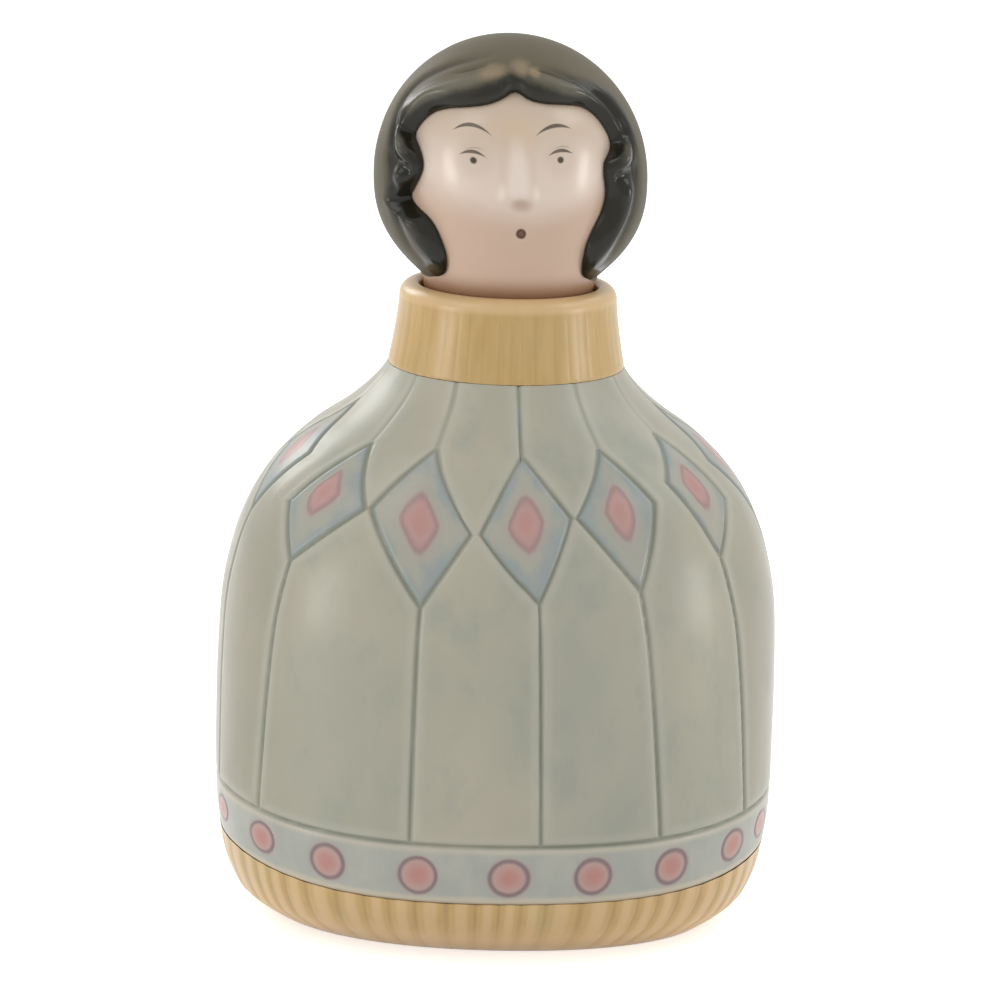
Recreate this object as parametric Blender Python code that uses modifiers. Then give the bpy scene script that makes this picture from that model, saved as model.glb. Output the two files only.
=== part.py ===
"""Figural stoneware bottle: an oval pressed vessel with ribbed hem and collar, stopped by a head on a cork.

Metres, +Z up, the face towards -Y. The origin lies on the standing surface, under the middle of the body.
"""
import math

import bmesh
import bpy
from mathutils import Matrix

# Gaps between pieces that touch or slide
LUTE_GAP = 0.0003
CORK_GAP = 0.0003
MERGE_DISTANCE = 0.00001

# Oval body, pressed flatter from front to back and round again at the neck
BODY_HALF_WIDTH = 0.0661
BODY_HALF_DEPTH = 0.0540
BODY_RISE = 0.1161
BODY_POWER = 2.15
WALL = 0.0045
NECK_START_SHARE = 0.80
NECK_END_SHARE = 0.99
BODY_OUTLINE_SHARES = (
    (1.0, 0.0), (0.975, 0.051), (0.941, 0.149), (0.906, 0.281), (0.865, 0.459), (0.8125, 0.629),
    (0.761, 0.749), (0.702, 0.841), (0.633, 0.915), (0.531, 0.976), (0.394, 0.997), (0.248, 1.0),
    (0.119, 0.995), (0.0, 0.964),
)

# Carving on the body: seams between its panels, a ring of diamonds and the line above the belt
DIAMONDS = 14
DIAMOND_STEPS = 4
DIAMOND_MIDDLE_SHARE = 0.7485
DIAMOND_HALF_RISE = 0.0160
DIAMOND_SIDE_LIFT = 0.0070
BELT_RISE = 0.0138
CARVE_DEPTH = 0.0007
CARVE_REACH = 0.0024
BODY_COLUMNS = 2 * DIAMONDS * DIAMOND_STEPS
OVAL_STEPS = 1440

# Cork sleeve and the hollow spigot that it is fitted on
SPIGOT_BORE = 0.0116
SPIGOT_WALL = 0.0034
SPIGOT_DROP = 0.0033
REGISTER_WALL = 0.0017
REGISTER_RISE = 0.0020
CORK_WALL = 0.0044
CORK_HEIGHT = 0.0125
ROUND_COLUMNS = 34

# Collar, a little wider at its foot than at its rim
COLLAR_HEIGHT = 0.0187
COLLAR_WALL = 0.0047
COLLAR_FLARE = 0.0023
COLLAR_FLARE_POWER = 1.4
COLLAR_BORE_FLARE = 0.0006
COLLAR_RIBS = 34
LIP_RADIUS = 0.0016

# Neck of the body, a short ring that the collar sits round and the cork rests on
NECK_RISE = 0.0030
NECK_LEDGE = 0.0030
NECK_CLEARANCE = 0.0026

# Base with its foot ring, its cove, the ring that locates the body and the ribbed hem
HEM_HEIGHT = 0.0157
HEM_SET_IN = 0.0005
HEM_TAPER = 0.0133
HEM_PINCH_SHARE = 0.13
HEM_SKEW_SHARE = 0.05
HEM_RIBS = 58
HEM_OUTLINE_SHARES = ((1.0, 1.0), (0.74, 0.91), (0.44, 0.68), (0.17, 0.31), (0.0, 0.0))
FOOT_RING = 0.0070
FOOT_RECESS = 0.0012
FLOOR = 0.0050
COVE_RADIUS = 0.0080
UPSTAND = 0.0025
UPSTAND_RISE = 0.0050

# Ribs pressed into hem and collar
RIB_DEPTH = 0.0006
RIB_FADE_HEIGHT = 0.0030

# Head, a hollow ovoid that narrows to a neck inside the collar
HEAD_HALF_WIDTH = 0.0258
HEAD_CROWN_RISE = 0.0249
HEAD_CHEEK_DROP = 0.0300
HEAD_CROWN_POWER = 2.3
HEAD_CHEEK_POWER = 1.25
HEAD_RIM_CLEARANCE = 0.0009
HEAD_WALL = 0.0035
HEAD_FLOOR = 0.0030
HEAD_COLUMNS = 40
HEAD_RINGS = 8
HEAD_LEAN_DEG = 1.1
HEAD_LEAN_RISE = 0.0120

# Nose, a ridge that runs out of the brow and stands proud at its tip
NOSE_HALF_WIDTH = 0.0040
NOSE_HALF_DEPTH = 0.0046
NOSE_HALF_HEIGHT = 0.0078
NOSE_TILT_DEG = 12.0
NOSE_PROUD = 0.0026
NOSE_LIFT_SHARE = 0.03

# Bobbed hair, a shell over the head that is open round the face
HAIR_THICKNESS = 0.0059
HAIR_END_THICKNESS = 0.0016
HAIR_SIDE_DROP = 0.0211
HAIR_CROWN_POWER = 2.02
HAIR_SIDE_POWER = 2.5
HAIR_FRONT_SHARE = 0.94
HAIR_COLUMNS = 64
HAIR_RINGS = 13
HAIR_LIFT = 0.0046
PARTING_DEPTH = 0.0014
PARTING_SPREAD = 0.0045
WAVE_DEPTH = 0.0010
WAVE_LENGTH = 0.0150
WAVE_PEAK_SHARE = 0.42
ROLL_HEIGHT = 0.0008
ROLL_OFFSET = 0.0044
ROLL_SPREAD = 0.0020
FURROW_DEPTH = 0.0013
FURROW_OFFSET = 0.0084
FURROW_SPREAD = 0.0018

# Face, which leans further than the head. Places on the outline of its opening in the hair are shares of the face's
# half-width, across, and of its height, up
FACE_LEAN_DEG = 3.4
FACE_WIDTH_SHARE = 0.89
FACE_RISE_SHARE = 0.845
FACE_OUTLINE_SHARES = (
    (0.03, 1.0), (-0.10, 0.97), (-0.25, 0.94), (-0.44, 0.92), (-0.63, 0.905), (-0.77, 0.88), (-0.87, 0.84),
    (-0.935, 0.79), (-0.955, 0.75), (-0.925, 0.71), (-0.90, 0.65), (-0.905, 0.60), (-0.94, 0.55), (-0.99, 0.50),
    (-1.02, 0.455), (-0.955, 0.41), (-0.86, 0.37), (-0.78, 0.31), (-0.725, 0.23), (-0.69, 0.15), (-0.685, 0.0),
    (0.66, 0.0), (0.66, 0.12), (0.665, 0.20), (0.70, 0.27), (0.76, 0.335), (0.84, 0.40), (0.89, 0.47),
    (0.905, 0.53), (0.885, 0.60), (0.885, 0.66), (0.94, 0.70), (0.985, 0.75), (0.93, 0.815), (0.83, 0.88),
    (0.69, 0.93), (0.50, 0.945), (0.30, 0.95), (0.14, 0.97),
)
FACE_CUT_OVERRUN = 0.0100
FACE_FLARE_SHARE = 0.60

# Colours as (red, green, blue) and the surface values of each glaze
CELADON = (0.40, 0.39, 0.32)
AMBER = (0.50, 0.34, 0.17)
BLUSH = (0.68, 0.54, 0.45)
DARK_OLIVE = (0.075, 0.068, 0.048)
BISCUIT = (0.55, 0.50, 0.42)
CORK = (0.35, 0.19, 0.09)
GLAZE_ROUGHNESS = 0.22
BARE_ROUGHNESS = 0.75

# Radii, from the spigot's bore outwards
SPIGOT_RADIUS = SPIGOT_BORE + SPIGOT_WALL
REGISTER_RADIUS = SPIGOT_BORE + REGISTER_WALL
COLLAR_BORE = SPIGOT_RADIUS + CORK_GAP + CORK_WALL + CORK_GAP
COLLAR_RIM_RADIUS = COLLAR_BORE + COLLAR_BORE_FLARE + COLLAR_WALL
COLLAR_FOOT_RADIUS = COLLAR_RIM_RADIUS + COLLAR_FLARE
NECK_BORE = SPIGOT_RADIUS + NECK_CLEARANCE
NECK_RADIUS = COLLAR_BORE + NECK_LEDGE

# Levels, from the standing surface up
BODY_FOOT_Z = HEM_HEIGHT + LUTE_GAP
BELT_Z = BODY_FOOT_Z + BELT_RISE
DIAMOND_MIDDLE_Z = BODY_FOOT_Z + DIAMOND_MIDDLE_SHARE * BODY_RISE
DIAMOND_TOP_Z = DIAMOND_MIDDLE_Z + DIAMOND_HALF_RISE
DIAMOND_FOOT_Z = DIAMOND_MIDDLE_Z - DIAMOND_HALF_RISE
SEAT_Z = HEM_HEIGHT + BODY_RISE
LEDGE_Z = SEAT_Z + NECK_RISE
COLLAR_FOOT_Z = SEAT_Z + LUTE_GAP
RIM_Z = COLLAR_FOOT_Z + COLLAR_HEIGHT
CORK_FOOT_Z = LEDGE_Z + LUTE_GAP
CORK_TOP_Z = CORK_FOOT_Z + CORK_HEIGHT
HEAD_FOOT_Z = CORK_TOP_Z + LUTE_GAP
HEAD_WIDEST_Z = HEAD_FOOT_Z + HEAD_CHEEK_DROP
HEAD_TOP_Z = HEAD_WIDEST_Z + HEAD_CROWN_RISE
HAIR_END_Z = RIM_Z + HAIR_LIFT
HAIR_WIDEST_Z = HAIR_END_Z + HAIR_SIDE_DROP
HAIR_CROWN_RISE = HEAD_TOP_Z + HAIR_THICKNESS - HAIR_WIDEST_Z
HAIR_HALF_WIDTH = HEAD_HALF_WIDTH + HAIR_THICKNESS
LEAN_START_Z = HEAD_FOOT_Z + HEAD_LEAN_RISE


def eased(share):
    """A share from 0 to 1 that starts and ends gently."""
    share = min(max(share, 0.0), 1.0)
    return share * share * (3.0 - 2.0 * share)


def smooth_line(points, steps):
    """Points on a smooth curve through the given ones, with the given number of steps between two."""
    padded = [points[0]] + list(points) + [points[-1]]
    line = []
    for before, start, end, after in zip(padded, padded[1:], padded[2:], padded[3:]):
        for step in range(steps):
            t = step / steps
            line.append(tuple(
                b + 0.5 * t * ((c - a) + t * ((2 * a - 5 * b + 4 * c - d) + t * (3 * b - a - 3 * c + d)))
                for a, b, c, d in zip(before, start, end, after)
            ))
    line.append(tuple(points[-1]))
    return line


def body_line(narrow, wide, steps):
    """The body's outline from its seat down to its foot, between a neck radius and a widest half-width."""
    rise = SEAT_Z - BODY_FOOT_Z
    points = [(narrow + out * (wide - narrow), BODY_FOOT_Z + up * rise) for up, out in BODY_OUTLINE_SHARES]
    return smooth_line(points, steps)


def body_foot_width(narrow, wide):
    """Half-width of a body outline at its foot."""
    return narrow + BODY_OUTLINE_SHARES[-1][1] * (wide - narrow)


def hem_line():
    """The hem's outline from its top down to the foot ring."""
    foot = body_foot_width(COLLAR_FOOT_RADIUS, BODY_HALF_WIDTH) - HEM_SET_IN - HEM_TAPER
    return [(foot + out * HEM_TAPER, up * HEM_HEIGHT) for up, out in HEM_OUTLINE_SHARES]


def width_on(line, height):
    """Half-width of a falling outline at a height; past its ends it keeps the width of the end."""
    width = line[0][0]
    for (wide, high), (narrow, low) in zip(line, line[1:]):
        if height < high:
            width = narrow + (wide - narrow) * max(height - low, 0.0) / (high - low)
    return width


def pressed(radius, angle, height):
    """Oval place of a turned point: flat and squarish on the body, round at the neck."""
    neck = eased(((height - BODY_FOOT_Z) / BODY_RISE - NECK_START_SHARE) / (NECK_END_SHARE - NECK_START_SHARE))
    flat = BODY_HALF_DEPTH / BODY_HALF_WIDTH
    depth = flat + (1.0 - flat) * neck
    power = 2.0 / (BODY_POWER + (2.0 - BODY_POWER) * neck)
    across = math.copysign(abs(math.cos(angle)) ** power, math.cos(angle))
    along = math.copysign(abs(math.sin(angle)) ** power, math.sin(angle))
    return radius * across, radius * depth * along, height


def even_turns():
    """Angles on the body's oval at even distances round it, once round from the back."""
    fine = [2.0 * math.pi * step / OVAL_STEPS - math.pi for step in range(OVAL_STEPS + 1)]
    spots = [pressed(BODY_HALF_WIDTH, angle, BODY_FOOT_Z) for angle in fine]
    run = [0.0]
    for here, after in zip(spots, spots[1:]):
        run.append(run[-1] + math.dist(here, after))
    turns, index = [], 0
    for step in range(2 * HEM_RIBS + 1):
        aim = run[-1] * step / (2 * HEM_RIBS)
        while index < OVAL_STEPS - 1 and run[index + 1] < aim:
            index += 1
        share = (aim - run[index]) / (run[index + 1] - run[index])
        turns.append(fine[index] + share * (fine[index + 1] - fine[index]))
    return turns


def stations(start, end, steps):
    """Even steps from a start up to, but without, an end."""
    return [start + (end - start) * step / steps for step in range(steps)]


def body_levels():
    """Levels of the rings on the body's outer side, from its seat down to its foot."""
    levels = stations(SEAT_Z, DIAMOND_TOP_Z, 5) + stations(DIAMOND_TOP_Z, DIAMOND_FOOT_Z, 2 * DIAMOND_STEPS)
    levels += stations(DIAMOND_FOOT_Z, BELT_Z + CARVE_REACH, 5)
    return levels + [BELT_Z + CARVE_REACH, BELT_Z, BELT_Z - CARVE_REACH, BODY_FOOT_Z]


def carved(angle, level):
    """Share of the carving's depth on a ring: whole on a line, none one column or one ring away from it."""
    if level < BELT_Z + MERGE_DISTANCE or level > SEAT_Z - MERGE_DISTANCE:
        return 1.0 if abs(level - BELT_Z) < MERGE_DISTANCE else 0.0
    turn = DIAMONDS * (angle / (2.0 * math.pi) + 0.25)
    across = 2.0 * abs(turn - round(turn))
    up = abs(level - DIAMOND_MIDDLE_Z) / DIAMOND_HALF_RISE
    away = abs(across + up - 1.0) if up < 1.0 else across
    return max(1.0 - DIAMOND_STEPS * away, 0.0)


def raised(angle, level):
    """Height of a ring's point: the diamonds sit higher at the sides than in front."""
    if level > DIAMOND_TOP_Z:
        share = (SEAT_Z - level) / (SEAT_Z - DIAMOND_TOP_Z)
    else:
        share = min(max((level - BELT_Z) / (DIAMOND_FOOT_Z - BELT_Z), 0.0), 1.0)
    return level + share * DIAMOND_SIDE_LIFT * math.cos(angle) ** 2


def body_place(outline, radius, angle, height):
    """Place of a point of the body, with the carving on its outer face only."""
    if height <= SEAT_Z and radius > width_on(outline, height) - 0.5 * WALL:
        carving = CARVE_DEPTH * carved(angle, height)
        height = raised(angle, height)
        radius = width_on(outline, height) - carving
    return pressed(radius, angle, height)


def ribbed(radius, angle, ribs, depth):
    """Radius of a point after ribs of a depth are pressed in, with a crest in front."""
    return radius - depth * 0.5 * (1.0 - math.cos(ribs * (angle + 0.5 * math.pi)))


def hem_place(turns, radius, angle, height):
    """Place of a point of the base: even ribs on the hem, and a foot pinched and skewed a little."""
    on_face = radius > width_on(hem_line(), height) - RIB_DEPTH
    if on_face:
        radius = ribbed(radius, angle, HEM_RIBS, RIB_DEPTH * min(height / RIB_FADE_HEIGHT, 1.0))
    low = max(1.0 - height / HEM_HEIGHT, 0.0) ** 2
    turn = turns[round(HEM_RIBS * (angle / math.pi + 1.0))]
    across, along, level = pressed(radius, turn, height)
    return across, (1.0 - HEM_PINCH_SHARE * low) * along - HEM_SKEW_SHARE * low * across, level


def collar_place(radius, angle, height):
    """Place of a point of the collar, with the ribs on its outer face below the lip."""
    if radius > COLLAR_RIM_RADIUS - LIP_RADIUS:
        fade = min((RIM_Z - height) / RIB_FADE_HEIGHT, 1.0)
        radius = ribbed(radius, angle, COLLAR_RIBS, RIB_DEPTH * fade)
    return radius * math.cos(angle), radius * math.sin(angle), height


def lean_at(height, degrees):
    """How far to one side a height above the neck is moved by a lean."""
    return math.tan(math.radians(degrees)) * max(height - LEAN_START_Z, 0.0)


def leaning(radius, angle, height):
    """Place of a point of the head, which leans to one side above its neck."""
    return radius * math.cos(angle) - lean_at(height, HEAD_LEAN_DEG), radius * math.sin(angle), height


def face_outline():
    """Outline of the face opening, as places across and up, before the head leans."""
    wide = FACE_WIDTH_SHARE * HEAD_HALF_WIDTH
    tall = FACE_RISE_SHARE * (HEAD_TOP_Z - HEAD_FOOT_Z)
    return [(across * wide, RIM_Z + up * tall) for across, up in FACE_OUTLINE_SHARES]


def from_face(across, height):
    """Distance of a place from the outline of the face opening."""
    spots = face_outline()
    away = []
    for (left, low), (right, high) in zip(spots, spots[1:] + spots[:1]):
        run, rise = right - left, high - low
        share = ((across - left) * run + (height - low) * rise) / (run * run + rise * rise)
        share = min(max(share, 0.0), 1.0)
        away.append(math.hypot(across - left - share * run, height - low - share * rise))
    return min(away)


def rolled(across, height):
    """Height of the roll of hair round the face, with the furrow that parts it from the cap."""
    away = from_face(across, height)
    roll = ROLL_HEIGHT * math.exp(-((away - ROLL_OFFSET) / ROLL_SPREAD) ** 2)
    return roll - FURROW_DEPTH * math.exp(-((away - FURROW_OFFSET) / FURROW_SPREAD) ** 2)


def hair_place(radius, angle, height):
    """Place of a point of the hair: rolled round the face, drawn in at the parting, waved at the sides."""
    across, along = radius * math.cos(angle), radius * math.sin(angle)
    if along < 0.0:
        along *= HAIR_FRONT_SHARE
        reach = -along / HAIR_HALF_WIDTH
        high = eased((height - HAIR_WIDEST_Z) / HAIR_CROWN_RISE)
        beside = across + lean_at(height, FACE_LEAN_DEG) - lean_at(height, HEAD_LEAN_DEG)
        parting = PARTING_DEPTH * high * math.exp(-(beside / PARTING_SPREAD) ** 2)
        level = (height - HAIR_WIDEST_Z) / WAVE_LENGTH - WAVE_PEAK_SHARE
        wave = WAVE_DEPTH * (1.0 - high) * eased(2.0 * reach) * math.cos(2.0 * math.pi * level)
        grow = 1.0 + eased(3.0 * reach) * rolled(beside, height) / HAIR_HALF_WIDTH
        across *= grow
        along = grow * along + parting * reach - wave
        height = HAIR_WIDEST_Z + grow * (height - HAIR_WIDEST_Z) - parting * (1.0 - reach) * reach
    return across - lean_at(height, HEAD_LEAN_DEG), along, height


def head_cheek_width(height):
    """Half-width of the head at a level below its widest."""
    foot = collar_bore(HEAD_FOOT_Z) - HEAD_RIM_CLEARANCE
    down = (HEAD_WIDEST_Z - height) / HEAD_CHEEK_DROP
    return HEAD_HALF_WIDTH - (HEAD_HALF_WIDTH - foot) * eased(down ** HEAD_CHEEK_POWER)


def head_line(grow):
    """The head's outline from its crown down to its foot, moved out by a distance."""
    line = []
    for ring in range(HEAD_RINGS):
        turn = 0.5 * math.pi * ring / HEAD_RINGS
        line.append((
            (HEAD_HALF_WIDTH + grow) * math.sin(turn) ** (2.0 / HEAD_CROWN_POWER),
            HEAD_WIDEST_Z + (HEAD_CROWN_RISE + grow) * math.cos(turn) ** (2.0 / HEAD_CROWN_POWER),
        ))
    for ring in range(HEAD_RINGS + 1):
        height = HEAD_WIDEST_Z - HEAD_CHEEK_DROP * ring / HEAD_RINGS
        line.append((head_cheek_width(height) + grow, height))
    return line


def hair_line():
    """The hair's outline from its crown down to its cut ends."""
    line = []
    for ring in range(HAIR_RINGS):
        turn = 0.5 * math.pi * ring / HAIR_RINGS
        line.append((
            HAIR_HALF_WIDTH * math.sin(turn) ** (2.0 / HAIR_CROWN_POWER),
            HAIR_WIDEST_Z + HAIR_CROWN_RISE * math.cos(turn) ** (2.0 / HAIR_CROWN_POWER),
        ))
    end = head_cheek_width(HAIR_END_Z) + HAIR_END_THICKNESS
    for ring in range(HAIR_RINGS):
        down = ring / (HAIR_RINGS - 1)
        width = HAIR_HALF_WIDTH - (HAIR_HALF_WIDTH - end) * down ** HAIR_SIDE_POWER
        line.append((width, HAIR_WIDEST_Z - down * HAIR_SIDE_DROP))
    return line


def collar_bore(height):
    """Radius of the collar's bore, which opens a little towards the rim."""
    return COLLAR_BORE + COLLAR_BORE_FLARE * (height - COLLAR_FOOT_Z) / COLLAR_HEIGHT


def quarter(centre, radius, start_deg, steps):
    """Points on a quarter turn clockwise about a centre, from a start angle."""
    points = []
    for step in range(steps + 1):
        turn = math.radians(start_deg - 90.0 * step / steps)
        points.append((centre[0] + radius * math.cos(turn), centre[1] + radius * math.sin(turn)))
    return points


def evaluated_mesh(source):
    """The mesh of an object with its modifiers, as new data."""
    graph = bpy.context.evaluated_depsgraph_get()
    graph.update()
    return bpy.data.meshes.new_from_object(source.evaluated_get(graph))


def turned(name, profile, columns, place):
    """Object from a profile at +X turned round Z, its points then moved by a place function."""
    outline = bpy.data.meshes.new(name)
    edges = [(index, index + 1) for index in range(len(profile) - 1)]
    if profile[0][0] > 0.0:
        edges.append((len(profile) - 1, 0))
    outline.from_pydata([(radius, 0.0, height) for radius, height in profile], edges, [])
    item = bpy.data.objects.new(name, outline)
    bpy.context.scene.collection.objects.link(item)
    screw = item.modifiers.new("Turn", "SCREW")
    screw.steps = columns
    screw.render_steps = columns
    screw.use_merge_vertices = True
    screw.merge_threshold = MERGE_DISTANCE
    mesh = evaluated_mesh(item)
    item.modifiers.clear()
    item.data = mesh
    bpy.data.meshes.remove(outline)
    mesh.name = name
    move_points(mesh, place)
    return item


def move_points(mesh, place):
    """Move each point of a turned mesh by a place function."""
    for vertex in mesh.vertices:
        angle = math.atan2(vertex.co.y, vertex.co.x)
        vertex.co = place(math.hypot(vertex.co.x, vertex.co.y), angle, vertex.co.z)


def split_along_carving(mesh):
    """Split each face that a side of a diamond crosses from corner to corner along that side."""
    shape = bmesh.new()
    shape.from_mesh(mesh)
    on_line = {point for point in shape.verts if carved(math.atan2(point.co.y, point.co.x), point.co.z) > 0.5}
    for face in list(shape.faces):
        corners = [point for point in face.verts if point in on_line]
        if len(corners) == 2 and not shape.edges.get(corners):
            bmesh.ops.connect_verts(shape, verts=corners)
    shape.to_mesh(mesh)
    shape.free()


def glaze(name, colour, roughness):
    """Plain material of one glaze or bare surface."""
    material = bpy.data.materials.new(name)
    material.use_nodes = True
    shader = material.node_tree.nodes["Principled BSDF"]
    shader.inputs["Base Color"].default_value = (*colour, 1.0)
    shader.inputs["Roughness"].default_value = roughness
    shader.inputs["Metallic"].default_value = 0.0
    return material


def finish(item, collection, material):
    """Shade a part, give it its material and put it in its collection."""
    item.data.shade_smooth()
    item.data.set_sharp_from_angle(angle=math.radians(40.0))
    item.data.materials.clear()
    item.data.materials.append(material)
    move_to(item, collection)


def move_to(item, collection):
    """Keep an object in one collection only."""
    for owner in list(item.users_collection):
        owner.objects.unlink(item)
    collection.objects.link(item)


def boolean(item, cutter, operation):
    """Cut or join a closed mesh with another."""
    step = item.modifiers.new(cutter.name, "BOOLEAN")
    step.operation = operation
    step.object = cutter
    step.solver = "EXACT"


def body_shell(parts):
    """The oval vessel wall, from its foot to the ledge of the neck."""
    outline = body_line(COLLAR_FOOT_RADIUS, BODY_HALF_WIDTH, 6)
    outer = [(width_on(outline, level), level) for level in body_levels()]
    inner = body_line(NECK_BORE, BODY_HALF_WIDTH - WALL, 1)[::-1]
    profile = [(NECK_RADIUS, LEDGE_Z), (NECK_RADIUS, SEAT_Z)] + outer + inner + [(NECK_BORE, LEDGE_Z)]
    item = turned("body_shell", profile, BODY_COLUMNS, round_place)
    split_along_carving(item.data)
    move_points(item.data, lambda radius, angle, height: body_place(outline, radius, angle, height))
    finish(item, parts, glaze("celadon_glaze", CELADON, GLAZE_ROUGHNESS))


def base_hem(parts):
    """Floor, foot ring, locating upstand and ribbed hem, formed as one."""
    floor_z = FOOT_RECESS + FLOOR
    ring = body_foot_width(NECK_BORE, BODY_HALF_WIDTH - WALL) - LUTE_GAP
    inside = ring - UPSTAND
    upstand_z = HEM_HEIGHT + UPSTAND_RISE
    cove = quarter((inside - COVE_RADIUS, floor_z + COVE_RADIUS), COVE_RADIUS, 0.0, 2)[::-1]
    face = hem_line()
    foot_inner = face[-1][0] - FOOT_RING
    profile = [(0.0, floor_z)] + cove + [(inside, upstand_z), (ring, upstand_z), (ring, HEM_HEIGHT)] + face
    profile += [(foot_inner, 0.0), (foot_inner - FOOT_RECESS, FOOT_RECESS), (0.0, FOOT_RECESS)]
    turns = even_turns()
    item = turned("base_hem", profile, 2 * HEM_RIBS, lambda *point: hem_place(turns, *point))
    finish(item, parts, glaze("amber_glaze", AMBER, GLAZE_ROUGHNESS))


def ribbed_collar(parts):
    """The collar, seated round the neck ring, with a rounded lip."""
    lip_centre = (COLLAR_RIM_RADIUS - LIP_RADIUS, RIM_Z - LIP_RADIUS)
    profile = [(collar_bore(RIM_Z) + LIP_RADIUS, RIM_Z)] + quarter(lip_centre, LIP_RADIUS, 90.0, 2)
    face = lip_centre[1] - COLLAR_FOOT_Z
    for step in range(1, 5):
        down = step / 4
        flare = (COLLAR_FOOT_RADIUS - COLLAR_RIM_RADIUS) * down ** COLLAR_FLARE_POWER
        profile.append((COLLAR_RIM_RADIUS + flare, lip_centre[1] - down * face))
    rebate = NECK_RADIUS + LUTE_GAP
    profile += [(rebate, COLLAR_FOOT_Z), (rebate, CORK_FOOT_Z), (collar_bore(CORK_FOOT_Z), CORK_FOOT_Z)]
    profile.append((collar_bore(RIM_Z), RIM_Z - LIP_RADIUS))
    item = turned("ribbed_collar", profile, 2 * COLLAR_RIBS, collar_place)
    finish(item, parts, glaze("collar_glaze", AMBER, GLAZE_ROUGHNESS))


def round_place(radius, angle, height):
    """Place of a point of a plain round piece."""
    return radius * math.cos(angle), radius * math.sin(angle), height


def cork_sleeve(parts):
    """The cork ring between the collar's bore and the spigot."""
    bore = SPIGOT_RADIUS + CORK_GAP
    profile = [
        (collar_bore(CORK_TOP_Z) - CORK_GAP, CORK_TOP_Z),
        (collar_bore(CORK_FOOT_Z) - CORK_GAP, CORK_FOOT_Z),
        (bore, CORK_FOOT_Z),
        (bore, CORK_TOP_Z),
    ]
    item = turned("cork_sleeve", profile, ROUND_COLUMNS, round_place)
    finish(item, parts, glaze("cork", CORK, BARE_ROUGHNESS))


def stopper_spigot(parts):
    """The hollow spigot under the head, with a register that centres it in the head's floor."""
    register_z = HEAD_FOOT_Z + REGISTER_RISE
    spigot_foot_z = CORK_FOOT_Z - SPIGOT_DROP
    profile = [
        (REGISTER_RADIUS, register_z),
        (REGISTER_RADIUS, CORK_TOP_Z),
        (SPIGOT_RADIUS, CORK_TOP_Z),
        (SPIGOT_RADIUS, spigot_foot_z),
        (SPIGOT_BORE, spigot_foot_z),
        (SPIGOT_BORE, register_z),
    ]
    item = turned("stopper_spigot", profile, ROUND_COLUMNS, round_place)
    finish(item, parts, glaze("bare_stoneware", BISCUIT, BARE_ROUGHNESS))


def nose(cutters):
    """Tilted ovoid that is joined to the front of the head."""
    mesh = bpy.data.meshes.new("nose")
    level = HEAD_WIDEST_Z - NOSE_LIFT_SHARE * HEAD_CHEEK_DROP
    front = -HEAD_HALF_WIDTH - NOSE_PROUD + NOSE_HALF_DEPTH
    shape = bmesh.new()
    bmesh.ops.create_uvsphere(shape, u_segments=14, v_segments=9, radius=1.0)
    size = Matrix.Diagonal((NOSE_HALF_WIDTH, NOSE_HALF_DEPTH, NOSE_HALF_HEIGHT, 1.0))
    tilt = Matrix.Rotation(math.radians(-NOSE_TILT_DEG), 4, "X")
    place = Matrix.Translation((-lean_at(level, FACE_LEAN_DEG), front, level))
    bmesh.ops.transform(shape, matrix=place @ tilt @ size, verts=shape.verts)
    shape.to_mesh(mesh)
    shape.free()
    item = bpy.data.objects.new("nose", mesh)
    as_cutter(item, cutters)
    return item


def as_cutter(item, cutters):
    """Show an object as wire only and keep it with the cutters."""
    item.hide_render = True
    item.display_type = "WIRE"
    move_to(item, cutters)


def head_shell(parts, cutters):
    """The hollow head with its nose, open below through its floor."""
    outer = head_line(0.0)
    inner = [point for point in head_line(-HEAD_WALL) if point[1] > HEAD_FOOT_Z + HEAD_FLOOR][::-1]
    floor_z = HEAD_FOOT_Z + HEAD_FLOOR
    bore = REGISTER_RADIUS + LUTE_GAP
    profile = outer + [(bore, HEAD_FOOT_Z), (bore, floor_z), (outer[-1][0] - HEAD_WALL, floor_z)] + inner
    item = turned("head_shell", profile, HEAD_COLUMNS, leaning)
    boolean(item, nose(cutters), "UNION")
    finish(item, parts, glaze("blush_glaze", BLUSH, GLAZE_ROUGHNESS))


def skull_core(cutters):
    """The head's form grown by the gap, cut out of the hair."""
    outer = head_line(LUTE_GAP)
    profile = outer + [(0.0, outer[-1][1])]
    item = turned("skull_core", profile, HEAD_COLUMNS, leaning)
    as_cutter(item, cutters)
    return item


def flared(across, depth, height):
    """Place across and up of a point of the face opening, which flares forward from the skull."""
    wide = width_on(head_line(0.0), height)
    skull = math.sqrt(max(wide * wide - across * across, 0.0))
    out, up = across, height - HEAD_WIDEST_Z
    grow = 1.0 + FACE_FLARE_SHARE * (depth - skull) / math.hypot(out, up)
    return grow * out, HEAD_WIDEST_Z + grow * up


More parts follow.
